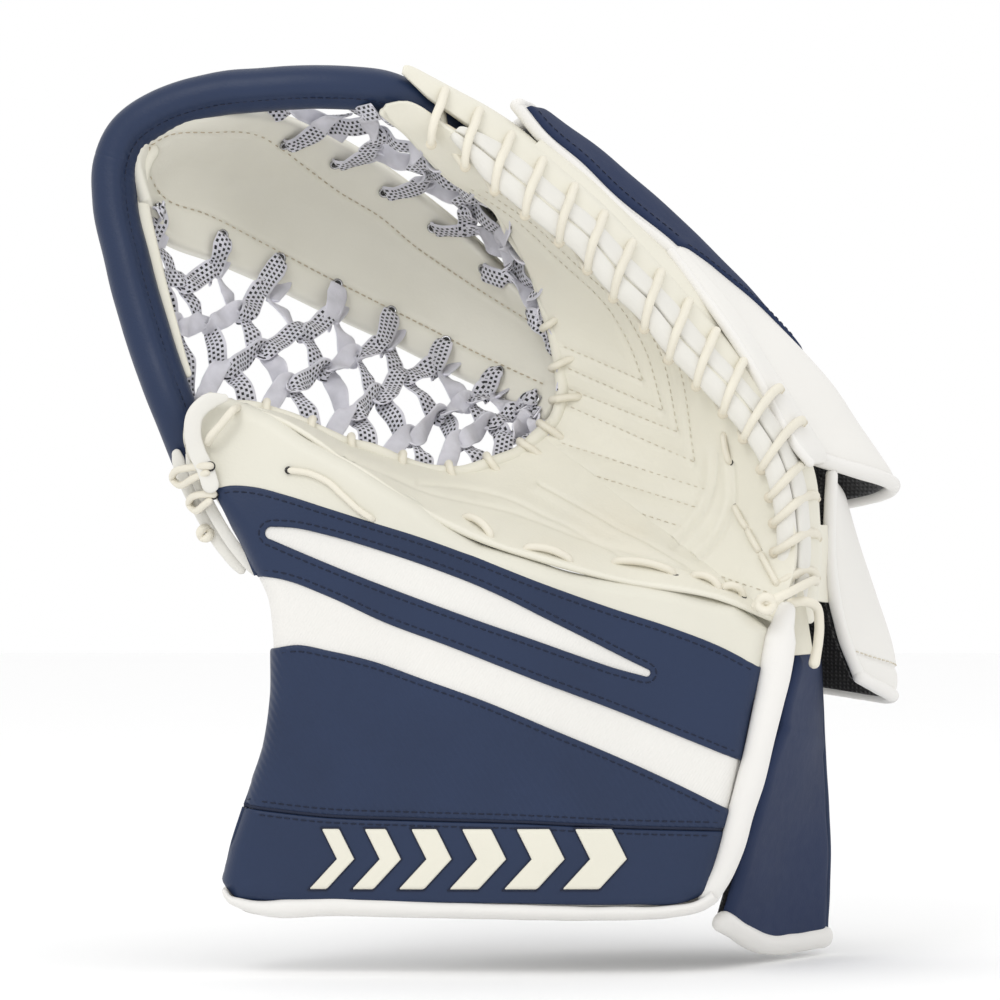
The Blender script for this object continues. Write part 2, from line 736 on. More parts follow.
def make_cuff_pad():
    """The padded board in its white leather, and the lining cloth behind it."""
    grid = coons(on_face(CUFF_BOTTOM), on_face(CUFF_TOP), on_face(CUFF_LEFT), on_face(CUFF_RIGHT),
                 to_edges(110, 0.035), to_edges(80, 0.045))
    x, z = grid[..., 0], grid[..., 2]
    edge = distance_to_line(grid, CUFF_OUTLINE)
    back = grid.copy()
    back[..., 1] = cuff_face(x, z) + CUFF_DEPTH - CUFF_DEPTH / 2 * (1 - rounding(edge, CUFF_ROUND))
    front = grid.copy()
    front[..., 1] = np.minimum(cuff_front(x, z) + 0.25 * ripples(grid, 45, 3), back[..., 1] - 0.05)
    mesh = Mesh()
    mesh.shell(front, back)
    finish_piece(mesh.make("cuff_pad", WHITE_RIB), "cuff", replaces=("cuff_core", "cuff_face_skin"),
                 slot="skin_white", padded=0.95)

    inner = back[3:-3, 3:-3]
    depth = border_distance(inner)
    swell = 1.6 * rounding(depth, 3.0) + 0.4 * ripples(inner, 30, 8) * rounding(depth, 9.0)
    sheet_piece("cuff_lining_cloth", LINING, inner, swell + 0.1, -0.6, (0, 1, 0), "cuff",
                replaces=("cuff_lining",), slot="lining_black", padded=0.5)


LOWER_PANEL = {
    "bottom": [(-107, 20), (-103, 15), (-60, 13.5), (0, 12.5), (50, 12), (72, 13), (81, 17)],
    "left": [(-107, 20), (-104.5, 33), (-99.5, 49)],
    "right": [(81, 17), (84, 28), (87, 40)],
    "top": [(-99.5, 49.6), (-69, 46.2), (-31, 44.8), (8, 43.7), (46, 41.8), (87, 40.6)],
}
WEDGE_PANEL = {
    "bottom": [(-99, 50), (-69, 46.6), (-31, 45.2), (8, 44.1), (46, 42.2), (87.5, 41)],
    "left": [(-99, 50), (-91, 72), (-88, 93), (-88, 110.5)],
    "right": [(87.5, 41), (88.2, 44), (89, 48)],
    "top": [(-88, 110.5), (-79, 112), (-66, 109.8), (-50, 106), (-30, 99), (-5, 90), (20, 79.5), (45, 69),
            (69, 58), (89, 48)],
}
BAND = {
    "top": [(-110.5, 172.5), (-105, 173.5), (-95, 173), (-83, 170), (-67, 165), (-51, 160), (-30, 153.5),
            (-12, 147), (16, 136), (44, 126), (67, 118.5), (86, 111), (101, 103)],
    "right": [(101, 103), (97, 86), (93, 67)],
    "bottom": [(-95, 139), (-83, 137), (-67, 131), (-44, 120.5), (-21, 112), (16, 97.5), (44, 87),
               (71, 76), (93, 67)],
    "left": [(-95, 139), (-100, 151), (-105, 162), (-110.5, 172.5)],
}
EYE_TOP = [(-88, 157.6), (-80, 157.2), (-66, 154.2), (-45, 148), (-25, 141.2), (-8, 134.6), (3, 129.6),
           (16, 123), (35, 113.6), (50, 106), (57, 102.6)]
EYE_BOTTOM = [(-88.6, 152.8), (-76, 147.4), (-56, 139.2), (-34, 130.8), (-10, 122), (12, 114.4), (30, 108),
              (45, 102.9), (56.2, 99.9)]
CUFF_TOP_PANEL = {
    "bottom": [(-111, 170.5), (-105, 171.5), (-95, 171), (-83, 168), (-67, 163), (-51, 158), (-30, 151.5),
               (-12, 145), (16, 134), (44, 124), (67, 116.5), (86, 109), (100.5, 101)],
    "left": [(-111, 170.5), (-121, 184), (-123, 196), (-120, 204), (-113, 210)],
    "right": [(100.5, 101), (103, 112), (104, 118)],
    "top": CUFF_TOP,
}


def cuff_panel(outline, name, material, replaces, lift=1.15, slot="skin_navy"):
    """A skin cut to four edges, glued on the cuff's front and turned over its rounded rim."""
    edges = [on_face(outline[k]) for k in ("bottom", "top", "left", "right")]
    grid = coons(*edges, to_edges(120, 0.02), to_edges(34, 0.05))
    own_edge = border_distance(grid, "vV")
    grid[..., 1] = cuff_front(grid[..., 0], grid[..., 2])
    sheet_piece(name, material, grid, 0.15 + lift * rounding(own_edge, 1.3), -0.5, (0, -1, 0), "cuff",
                replaces=replaces, slot=slot)


def seam_rows(name, rows, lift):
    """Navy stitching in rows on the cuff's front."""
    mesh = Mesh()
    for row in rows:
        points, n = cuff_skin_at(resample(row, 3.2), lift)
        stitch(mesh, points, n, 2.2, 0.3)
    finish_piece(mesh.make(name, NAVY_THREAD), "cuff")


def inset(line, distance):
    """An open line moved sideways by `distance`, positive to its right."""
    line = np.asarray(line, float)
    t = unit(np.gradient(line, axis=0))
    return line + np.stack([t[:, 1], -t[:, 0]], axis=1) * distance


def half_turn(start, stop, count):
    """Points of a half circle, clockwise from `start` to `stop`, without its ends."""
    start, stop = np.array(start, float), np.array(stop, float)
    centre = (start + stop) / 2
    first = math.atan2(*(start - centre)[::-1])
    angle = first - math.pi * evenly(count + 2)[1:-1]
    radius = np.linalg.norm(start - centre)
    return centre + radius * np.stack([np.cos(angle), np.sin(angle)], axis=1)


def eye_outline(count, ends):
    """The white slit in the band, clockwise."""
    return np.vstack([
        smooth(EYE_TOP, evenly(count)), half_turn(EYE_TOP[-1], EYE_BOTTOM[-1], ends),
        smooth(EYE_BOTTOM, evenly(count))[::-1], half_turn(EYE_BOTTOM[0], EYE_TOP[0], ends),
    ])


def make_band():
    """The navy band round its white slit, with its stitching."""
    count = 110
    ends = 14
    outer = np.vstack([
        smooth(BAND["top"], evenly(count)), smooth(BAND["right"], evenly(ends + 2))[1:-1],
        smooth(BAND["bottom"], evenly(count))[::-1], smooth(BAND["left"], evenly(ends + 2))[1:-1],
    ])
    inner = eye_outline(count, ends)
    vs = to_edges(16, 0.08)
    flat = outer[:, None] * (1 - vs)[None, :, None] + inner[:, None] * vs[None, :, None]
    grid = np.stack([flat[..., 0], cuff_front(flat[..., 0], flat[..., 1]), flat[..., 1]], axis=-1)
    own_edge = border_distance(grid, "vV")
    at_side = np.zeros(len(outer), bool)
    at_side[count:count + ends] = True
    at_side[-ends:] = True
    inner_edge = border_distance(grid, "V")
    own_edge[at_side] = inner_edge[at_side]
    mesh = Mesh()
    mesh.ring_sheet(grid, 0.15 + 1.15 * rounding(own_edge, 1.3), np.full(own_edge.shape, -0.5), (0, -1, 0))
    skin = mesh.make("cuff_band_skin", NAVY)
    finish_piece(skin, "cuff", replaces=("cuff_band_panel",), slot="skin_navy")

    eye = eye_outline(40, 8)
    along = unit(np.roll(eye, -1, axis=0) - np.roll(eye, 1, axis=0))
    loop = eye + 2.5 * np.stack([-along[:, 1], along[:, 0]], axis=1)
    loop = np.vstack([loop, loop[:1]])
    rows = [inset(BAND["top"], 2.6), inset(BAND["bottom"], -2.6), loop]
    seam_rows("cuff_band_stitches", rows, 1.3)


def make_cuff_welts():
    """The rolled white leather round the cuff's lower edge and along the little-finger side."""
    mesh = Mesh()
    bottom = [(-107.5, 17.4), (-105.6, 13.6), (-100, 11.2), (-60, 9.8), (0, 8.6), (45, 8.2), (66, 9),
              (78, 11.5), (83, 15)]
    run = evenly(90)
    flat = smooth(bottom, run)
    rise = np.interp(run, [0, 0.04, 0.14, 0.45, 1], [0.3, 0.5, 0.95, 0.75, 0.45])
    grow = np.interp(run, [0, 0.03, 0.12, 1], [0.2, 0.5, 1, 1])
    t = unit(np.gradient(flat, axis=0))
    down = np.stack([t[:, 1], -t[:, 0]], axis=1)
    x, z = flat[:, 0], flat[:, 1]
    face = cuff_face(x, z)
    section = [(-5.6, 0.2), (-4.6, -1.3), (-2.2, -2.2), (0.2, -2.0), (1.9, -0.2), (2.7, 2.5), (3.0, 7),
               (3.0, 14), (2.6, 18), (1.4, 20.6), (-0.8, 21.8), (-3.4, 21.4), (-4.6, 20)]
    points = []
    for across, deep in section:
        out = across * (rise if across < 0 else grow)
        points.append(np.stack([x + down[:, 0] * out, face + deep, z + down[:, 1] * out], axis=-1))
    grid = np.stack(points, axis=1)
    grid += 0.18 * ripples(grid, 16, 5)[..., None] * normals_of(grid, (0, -0.3, -1))
    mesh.sheet(grid, 0.0, -1.0, (0, -0.2, -1))
    welt = mesh.make("cuff_bottom_welt", BINDING, refine=1)
    finish_piece(welt, "cuff", replaces=("cuff_bottom_binding",), slot="skin_white")

    mesh = Mesh()
    line = [(111, -60, 125), (108.5, -60, 114), (106, -61, 98), (102, -62.5, 80), (97.5, -63, 61),
            (93, -63.5, 46), (89.5, -64, 33), (86, -64, 24), (80.5, -64, 15)]
    run = evenly(80)
    path = smooth(line, run)
    radius = np.interp(run, [0, 0.05, 0.1, 0.16, 0.3, 0.6, 1], [3.6, 4.6, 6.6, 6.8, 5.8, 5.4, 4.4])
    radius = radius + 0.2 * ripples(path, 16, 6)
    mesh.tube(path, radius, sides=22, flatten=0.78, flat_towards=(0, 1, 0))
    roll = mesh.make("cuff_side_welt", BINDING)
    finish_piece(roll, "cuff", replaces=("cuff_side_binding",), slot="skin_white", padded=0.9)


def make_panel_seam():
    """The dark line where the two lower navy panels meet."""
    points, _ = cuff_skin_at(smooth(LOWER_PANEL["top"], evenly(90)) + (0, 0.2), 0.3)
    mesh = Mesh()
    mesh.tube(points, 0.8, sides=8, round_ends=False)
    finish_piece(mesh.make("cuff_panel_seam", NAVY_THREAD), "cuff")


CHEVRON_FOOT = 17.5
CHEVRON_HEIGHT = 24.0
CHEVRON_SLANT = 5.0
CHEVRON_POINT = 6.0


def make_chevrons():
    """A plain emblem: a row of slanting chevrons that grow from left to right, each sewn on."""
    mesh, thread = Mesh(), Mesh()
    half_way = CHEVRON_FOOT + CHEVRON_HEIGHT / 2
    x = -74.0
    for k in range(6):
        thick = 7.0 + 1.5 * k
        left = np.array([(x, CHEVRON_FOOT), (x + CHEVRON_SLANT + CHEVRON_POINT, half_way),
                         (x + CHEVRON_SLANT, CHEVRON_FOOT + CHEVRON_HEIGHT)])
        right = left + (thick, 0)
        us = to_edges(8, 0.12)[:, None, None]
        sides = [read_rows(evenly(25), [0, 0.5, 1], line)[None] for line in (left, right)]
        flat = sides[0] * (1 - us) + sides[1] * us
        grid = np.stack([flat[..., 0], cuff_front(flat[..., 0], flat[..., 1]), flat[..., 1]], axis=-1)
        mesh.sheet(grid, 1.2 + 1.1 * rounding(border_distance(grid), 1.1), 0.8, (0, -1, 0))
        outline = np.vstack([left, right[::-1], left[:1]])
        for a, b in zip(outline[:-1], outline[1:]):
            points, _ = cuff_skin_at(resample([a, b], 1.6), 1.45)
            thread.tube(points, 0.42, sides=6)
        x += thick + 9.5
    finish_piece(mesh.make("cuff_chevrons", EMBLEM), "cuff", replaces=("cuff_emblem",), slot="emblem_cream")
    finish_piece(thread.make("cuff_chevron_edging", NAVY_THREAD), "cuff")


make_cuff_pad()
cuff_panel(LOWER_PANEL, "cuff_lower_skin", NAVY, ("cuff_lower_panel",))
cuff_panel(WEDGE_PANEL, "cuff_wedge_skin", NAVY_RIB, ("cuff_wedge_panel",))
make_band()
seam_rows("cuff_panel_stitches", [
    inset(LOWER_PANEL["top"], 2.4), inset(WEDGE_PANEL["bottom"], -2.4), inset(WEDGE_PANEL["top"], 2.4),
], 1.3)
make_cuff_welts()
make_chevrons()
make_panel_seam()
cuff_panel(CUFF_TOP_PANEL, "cuff_top_skin", CUFF_CREAM, (), 0.5, "palm_leather")


# ------------------------------------------------------------------ palm, thumb and pocket edge

BREAK_MIDDLE = (-18.0, -40.0, 219.0)
BREAK_ACROSS = (0.582, 0.813)


def beyond_break(distance):
    """The point `distance` from the break line, on the fingers' side when positive."""
    x, y, z = BREAK_MIDDLE
    return (x + BREAK_ACROSS[0] * distance, y, z + BREAK_ACROSS[1] * distance)


THUMB_HALF = ("cuff", "web", beyond_break(-32), beyond_break(-8))
FINGER_HALF = ("web", "fingers", beyond_break(8), beyond_break(45))

# Each rib runs from the pocket's edge to the outer edge, with the hollow half way along it.
PALM_RIBS = [
    ((-46, -32, 322), (-45, -33, 323.4), 0), ((-43.5, -29, 318), (-38, -34, 324.6), 0),
    ((-37, -24, 312.5), (-20, -35, 314), 0),
    ((-21, -12, 297), (4, -34, 296), 1), ((-3, -2, 285), (28, -34, 277), 3),
    ((10, 8, 264), (50, -34, 254), 4), ((19, 14, 241), (74, -34, 228), 5),
    ((24, 12, 222), (98, -37, 203), 6), ((25, 12, 212), (112, -42, 175), 7),
    ((22, 9, 200), (115, -50, 141), 8.5), ((16, 6, 194), (107, -60, 121), 4.5),
]
THUMB_RIBS = [
    ((16, 6, 194), (107, -60, 121), 4.5), ((8, 0, 187), (85, -67, 130), 8),
    ((-2, -6, 183), (50, -67, 136), 5), ((-16, -14, 179), (15, -68, 145), 0),
    ((-40, -24, 183), (-20, -68, 158), -5), ((-61, -27, 190), (-58, -65, 182), -5),
    ((-86, -28, 201), (-88, -58, 200), -5), ((-114, -27, 206), (-118, -50, 205), -4),
]
QUILT_LEG = [(57, 215), (52, 229), (44, 243), (23, 264), (7, 279), (-12, 292)]
QUILT_CORNERS = [(57, 215.5), (65, 203.6), (71, 195), (77.5, 183)]
QUILT_ENDS = [(25, 230), (24, 222.5), (24.5, 214), (25, 207)]
PALM_ROWS = [[(24, 191), (82, 172)], [(18, 184), (78, 165)], [(15, 176), (73, 157)]]
PALM_SEAMS = [
    [(86.7, 186), (86, 175), (82, 163.6), (68, 148)],
    [(92.7, 182), (92.7, 165.6), (86.7, 153), (77.6, 143.8)],
    [(16, 174), (40, 160), (54, 152), (80, 138.5), (104, 130)],
]
THUMB_SEAMS = [
    [(-32, 174), (-4, 170), (24, 158), (52, 143)],
    [(-70, 188), (-50, 180), (-20, 168), (6, 162), (30, 153), (60, 144), (92, 134)],
]


def leather_grid(ribs, us, vs):
    """A grid over ribs given by their ends and the hollow between them."""
    lines = []
    for inner, outer, hollow in ribs:
        middle = (np.array(inner, float) + np.array(outer, float)) / 2 + np.array([0, hollow, 0])
        lines.append([inner, middle, outer])
    return loft(lines, us, vs)


def leather_ripples(grid):
    """The slow and the fine unevenness that the palm and thumb leather share."""
    return 0.55 * ripples(grid, 60, 11) + 0.24 * ripples(grid, 22, 12)


def quilt_lines():
    """V-shaped rows: in from the pocket's edge, round a corner, and up beside the rim."""
    rows = []
    for k, (corner, end) in enumerate(zip(QUILT_CORNERS, QUILT_ENDS)):
        leg = [(x + 5.6 * k, z - 1.0 * k) for x, z in QUILT_LEG]
        rows.append([end, corner])
        rows.append([corner] + leg[1:])
    return rows


def make_palm():
    """The palm leather with its quilting and seams, the pad behind it and the thread in it."""
    us = to_edges(150, 0.03)
    vs = to_edges(110, 0.035)
    grid = leather_grid(PALM_RIBS, us, vs)
    height = leather_ripples(grid)
    for row in quilt_lines() + PALM_ROWS:
        height = height + groove(grid, resample(row, 4), 0.55, 1.1)
    for row in PALM_SEAMS:
        height = height + groove(grid, resample(row, 4), 1.1, 0.9)
        height = height - groove(grid, resample(inset(row, 2.4), 4), 0.9, 2.0)
    edge = border_distance(grid, "uv")
    n = sheet_piece("palm_skin", CREAM, grid, height * rounding(edge, 6) + 1.2 * rounding(edge, 1.5), -1.0,
                    (0, -1, 0.2), blend=FINGER_HALF, replaces=("palm_leather",), slot="palm_leather")
    surface = Skin(grid + n * (height + 1.2)[..., None], n)

    inner = grid[14:-14, 14:-14]
    deep = -2.2 - 3.6 * rounding(border_distance(inner), 6)
    sheet_piece("palm_pad_foam", EDGE_CREAM, inner, -1.3, deep, (0, -1, 0.2), blend=FINGER_HALF,
                replaces=("palm_pad",), slot="foam", padded=0.6)

    thread = Mesh()
    for row in quilt_lines() + PALM_ROWS:
        points, normals = surface.line(row, 3.0, 0.05)
        stitch(thread, points, normals, 1.6, 0.2)
    for row in PALM_SEAMS[2:]:
        points, normals = surface.line(inset(row, -2.0), 2.8, 0.1)
        stitch(thread, points, normals, 1.6, 0.2)
    finish_piece(thread.make("palm_quilting_thread", PALE_THREAD), blend=FINGER_HALF)
    return surface


def make_thumb_leather():
    """The leather from the cuff's top edge down into the pocket on the thumb's side."""
    us = to_edges(170, 0.025)
    vs = to_edges(70, 0.05)
    grid = leather_grid(THUMB_RIBS, us, vs)
    height = leather_ripples(grid)
    for row in THUMB_SEAMS + PALM_SEAMS:
        depth = 1.1 if row in PALM_SEAMS else 0.8
        height = height + groove(grid, resample(row, 4), depth, 0.9)
    height = height - groove(grid, resample(inset(PALM_SEAMS[2], 2.4), 4), 0.9, 2.0)
    edge = border_distance(grid, "UV")
    n = sheet_piece("thumb_skin", CREAM, grid, height * rounding(edge, 6) + 1.2 * rounding(edge, 1.5), -1.0,
                    (0, -1, 0.4), blend=THUMB_HALF, replaces=("thumb_inner_leather",), slot="palm_leather")
    return Skin(grid + n * (height + 1.2)[..., None], n)


THUMB_ROLL = [(-117, -28, 204), (-97, -28, 204), (-86, -28, 201), (-72, -28, 195), (-61, -27, 190),
              (-52, -26, 188), (-40, -24, 183), (-26, -19, 179), (-16, -14, 179), (-2, -6, 183), (8, 1, 187),
              (16, 6, 194)]
FINGER_ROLL = [(16, 6, 194), (22, 9, 200), (25, 12, 212), (24, 13, 224), (20, 14, 241), (16, 12, 250),
               (10, 8, 264), (3, 4, 274), (-3, -2, 285), (-10, -6, 290), (-21, -12, 297), (-38, -24, 314),
               (-47, -30, 321)]
ROLL = 2.9


def wrap(mesh, centre, along, front, outward, radius, reach):
    """A lace over a roll: from behind it, round its front, and into the leather beyond."""
    slant = along * radius * 1.1
    path = [
        centre - outward * (ROLL + radius) * 0.7 - front * 2.4 - slant,
        centre - outward * (ROLL + radius * 0.7) + front * 0.6 - slant * 0.6,
        centre + front * (ROLL + radius * 0.9) - slant * 0.1,
        centre + outward * (ROLL + 1.0) + front * (radius + 0.9) + slant * 0.6,
        centre + outward * reach + front * 0.2 + slant,
        centre + outward * (reach + 1) - front * 2.4 + slant,
    ]
    mesh.tube(smooth(path, evenly(22)), radius, sides=9, round_ends=False)


def make_roll(name, path, radius, blend, node, places, pocket_side):
    """One padded roll on the pocket's edge, with the laces wrapped over it at shares of its length."""
    roll = Mesh()
    roll.tube(path, radius, sides=16)
    finish_piece(roll.make(name, CREAM), blend=blend, replaces=(node,), slot="palm_leather", padded=0.9)
    along = unit(np.gradient(path, axis=0))
    front = np.array([0.0, -1.0, 0.0])
    laces = Mesh()
    for share in places:
        i = int(share * (len(path) - 1))
        outward = unit(np.cross(along[i], front))
        if outward @ pocket_side > 0:
            outward = -outward
        slope = unit(outward + 0.45 * front)
        wrap(laces, path[i], along[i], unit(front - 0.3 * outward), slope, 1.55, 7.5)
    finish_piece(laces.make(name + "_lacing", LACE), blend=blend)


def make_rolls():
    """The rolled edges of the pocket that the nets' feet are laced to."""
    share = evenly(120)
    path = smooth(THUMB_ROLL, share)
    radius = ROLL * (1 + 0.08 * ripples(path, 20, 31))
    make_roll("thumb_roll", path, radius, THUMB_HALF, "thumb_pocket_roll",
              (0.05, 0.17, 0.3, 0.42, 0.56, 0.7, 0.83, 0.95), (0, 0, 1))
    # Further up, the finger roll lies thinner and deeper, under the net's last row.
    path = smooth(FINGER_ROLL, share)
    radius = ROLL * (1 + 0.08 * ripples(path, 20, 31))
    hidden = ease((share - 0.28) / 0.15)
    path = path + np.array([1.2, 3.6, 0.0]) * hidden[:, None]
    make_roll("finger_roll", path, radius * (1 - 0.35 * hidden), FINGER_HALF, "finger_pocket_roll",
              (0.03, 0.11, 0.2, 0.3), (-1, 0, 0))


# ------------------------------------------------------------------ bar round the pocket

BAR = [(-119, -30, 180), (-125.3, -36, 197.2), (-137.4, -28, 229.2), (-147, -20, 261.1), (-152.8, -14, 287),
       (-153, -12, 301), (-148.3, -12, 312.2), (-135, -14, 321.9), (-114.5, -17, 328.2), (-95, -20, 330.3),
       (-71, -22, 331.2), (-47, -20, 329.5), (-30, -15, 322.5), (-12, -9, 312), (2, -4, 300)]
BAR_SECTION = [(-1.0, 0.0), (-0.95, 0.36), (-0.8, 0.68), (-0.52, 0.9), (-0.15, 1.0), (0.12, 1.0), (0.3, 0.93),
               (0.42, 0.8), (0.5, 0.66), (0.66, 0.52), (0.84, 0.3), (0.95, 0.0), (0.95, -0.36), (0.8, -0.7),
               (0.45, -0.92), (0.0, -1.0), (-0.45, -0.92), (-0.8, -0.68), (-0.95, -0.36)]
BAR_SPLIT = 0.43


BAR_CORNER = np.array([-148.0, -14.0, 312.0])
BAR_CORNER_REACH = 24.0
BAR_HALVES = [
    ("bar_thumb_half", 0.0, BAR_SPLIT, THUMB_HALF, ("perimeter_bar_thumb",)),
    ("bar_finger_half", BAR_SPLIT - 0.004, 1.0, FINGER_HALF,
     ("perimeter_bar_corner", "perimeter_bar_finger")),
]


def make_bar():
    """Padded bar: a broad outer facet, a folded seam, and a narrower facet that faces the pocket."""
    share = evenly(260)
    path = smooth(BAR, share)
    radius = np.interp(share, [0, 0.2, 0.45, 0.6, 0.85, 1], [8.8, 9.6, 9.2, 9.0, 8.9, 6.0])
    towards = np.array([0.0, -1.0, 0.0])
    ring = len(BAR_SECTION)
    across = np.array([a for a, _ in BAR_SECTION])[None]
    inner_side = np.clip((across + 0.2) / 0.6, 0, 1)
    for name, low, high, blend, nodes in BAR_HALVES:
        keep = (share >= low) & (share <= high)
        mesh = Mesh()
        mesh.tube(path[keep], radius[keep], flat_towards=towards, section=BAR_SECTION)
        rows = len(mesh.points[0]) // ring
        grid = mesh.points[0].reshape(rows, ring, 3)
        out = grid - grid.mean(axis=1, keepdims=True)
        corner = np.exp(-(((grid - BAR_CORNER) / BAR_CORNER_REACH) ** 2).sum(-1))
        folds = np.sin(np.linspace(0, 1, rows)[:, None] * 260 + 2 * np.arange(ring)[None, :] * 0.9)
        swell = 0.02 * ripples(grid, 28, 41) + 0.045 * corner * inner_side * folds
        mesh.points[0] = (grid + out * swell[..., None]).reshape(-1, 3)
        finish_piece(mesh.make(name, NAVY, refine=1), blend=blend, replaces=nodes, slot="skin_navy",
                     padded=0.95)

    inner = np.cross(unit(np.gradient(path, axis=0)), towards)
    seam = Mesh()
    keep = (share > 0.03) & (share < 0.9)
    line = path + inner * (radius * 0.52)[:, None] + towards * (radius * 0.66)[:, None]
    points = resample(line[keep][::8], 3.0)
    stitch(seam, points, np.tile(towards, (len(points), 1)), 1.9, 0.25, 0.15)
    finish_piece(seam.make("bar_stitches", NAVY_THREAD), blend=FINGER_HALF)

    strip = Mesh()
    keep = (share > 0.12) & (share < 0.47)
    edge = path + inner * (radius * 0.95)[:, None] + np.array([0, 3.0, 0])
    half = np.interp(evenly(keep.sum()), [0, 0.6, 1], [1.6, 3.4, 4.2])
    strip.tube(edge[keep] + inner[keep] * 1.2, half, sides=12, flatten=0.5, flat_towards=towards)
    finish_piece(strip.make("bar_inner_strip", CREAM), blend=THUMB_HALF)


# ------------------------------------------------------------------ web

WEB_LOW = [(-141, -14, 287), (-133, 0, 272), (-113, 18, 264), (-90, 36, 254), (-65, 46, 242), (-43, 50, 232),
           (-20, 46, 220), (2, 32, 209), (18, 16, 198)]
WEB_MID = [(-145, -14, 303), (-136, 2, 298), (-115, 22, 295), (-86, 44, 287), (-53, 56, 273), (-25, 58, 256),
           (0, 46, 240), (18, 28, 223), (25, 15, 212)]
WEB_UP = [(-139, -16, 319), (-113, -16, 322), (-88, 6, 321), (-63, 28, 313), (-41, 40, 299), (-20, 43, 282),
          (-2, 36, 264), (13, 24, 249), (21, 16, 240)]
WEB_SEAM_UP = [(-139, 309), (-133, 312.5), (-116, 314.5), (-95, 313.7), (-88.5, 310), (-80, 304),
               (-67, 294.7), (-48, 283.3), (-36, 273.2), (-18, 260.6), (12, 240.7)]
WEB_SEAM_LOW = [(-139, 309), (-140.5, 302), (-135, 289.4), (-118.6, 283.3), (-98, 273.2), (-74.3, 261),
                (-48.3, 248), (-25.6, 236.6), (-8, 227.3), (18, 214.7)]


def make_web():
    """The web's front and back leather and its two sewn rows."""
    us = to_edges(70, 0.05)
    vs = to_edges(150, 0.02)
    grid = loft([WEB_LOW, WEB_MID, WEB_UP], us, vs)
    height = 0.6 * ripples(grid, 50, 51) + 0.2 * ripples(grid, 15, 52)
    for seam in (WEB_SEAM_UP, WEB_SEAM_LOW):
        height = height + groove(grid, resample(seam, 4), 0.9, 1.3)
    x, z = grid[..., 0], grid[..., 2]
    upper = np.interp(x, *np.array(WEB_SEAM_UP).T)
    lower = np.interp(x, *np.array(WEB_SEAM_LOW[2:]).T)
    between = ease((upper - z) / 2.4 + 0.3) * ease((z - lower) / 2.4 + 0.3) * ease((x + 141) / 3)
    height = height + 0.9 * (1 - between)
    edge = border_distance(grid)
    top = height * rounding(edge, 3) + 1.3 * rounding(edge, 1.6)
    n = sheet_piece("web_skin", WEB_CREAM, grid, top, -2.6, (0, -1, 0), blend=FINGER_HALF,
                    replaces=("web_front_leather", "web_stiffener"), slot="palm_leather", padded=0.8)
    inner = grid[2:-2, 2:-2]
    sheet_piece("web_back_skin", CREAM, inner, -2.9, -4.1 - 0.4 * ripples(inner, 40, 54), (0, -1, 0),
                blend=FINGER_HALF, replaces=("web_back_leather",), slot="palm_leather")
    surface = Skin(grid + n * (height + 1.3)[..., None], n)
    thread = Mesh()
    for seam in (WEB_SEAM_UP, WEB_SEAM_LOW):
        points, normals = surface.line(seam, 2.9, 0.1)
        stitch(thread, points, normals, 1.7, 0.3)
    finish_piece(thread.make("web_seam_thread", THREAD), blend=FINGER_HALF)
    return surface, grid


def ring_path(centre, normal, radius):
    side = unit(np.cross(normal, [0.3, 0.2, 0.9]))
    other = np.cross(normal, side)
    angle = np.linspace(0, 2 * math.pi, 25)[:, None]
    return centre + radius * (np.cos(angle) * side + np.sin(angle) * other)


EYELET_RADIUS = 1.9


def eyelet(metal_mesh, hole_mesh, centre, normal):
    """A metal ring round a dark hole."""
    ring = ring_path(centre + normal * 0.25, normal, EYELET_RADIUS)
    metal_mesh.tube(ring, 0.55, sides=8, round_ends=False)
    disc = [centre - normal * 0.8, centre + normal * 0.12]
    hole_mesh.tube(disc, EYELET_RADIUS, sides=18, round_ends=False)


# ------------------------------------------------------------------ laced nets


NET_WIDTH = 8.3
LACE_THICK = 1.1
# How far a hook slips along the net, in eyelets, and down it, as a share of its height.
NET_SLIP = (0.12, 0.028)


def lace_strand(mesh, place, stops, width):
    """A flat lace through stops (s, t, lift, turn, share of the width) over the net's surface."""
    points, fronts = [], []
    for s, t, lift, _, _ in stops:
        p, n = place(s, t)
        points.append(p + n * lift)
        fronts.append(n)
    points = np.array(points)
    turns = [stop[3] for stop in stops]
    widths = [stop[4] for stop in stops]
    knots = run_along(points)
    knots /= knots[-1]
    shares = evenly(7 * (len(points) - 1) + 1)
    path = smooth(points, shares)
    angle = np.interp(shares, knots, turns)[:, None]
    front = read_rows(shares, knots, fronts)
    along = unit(np.gradient(path, axis=0))
    side = unit(np.cross(front, along))
    front = np.cross(along, side)
    across = side * np.cos(angle) + front * np.sin(angle)
    mesh.ribbon(path, across, width * np.interp(shares, knots, widths), LACE_THICK)


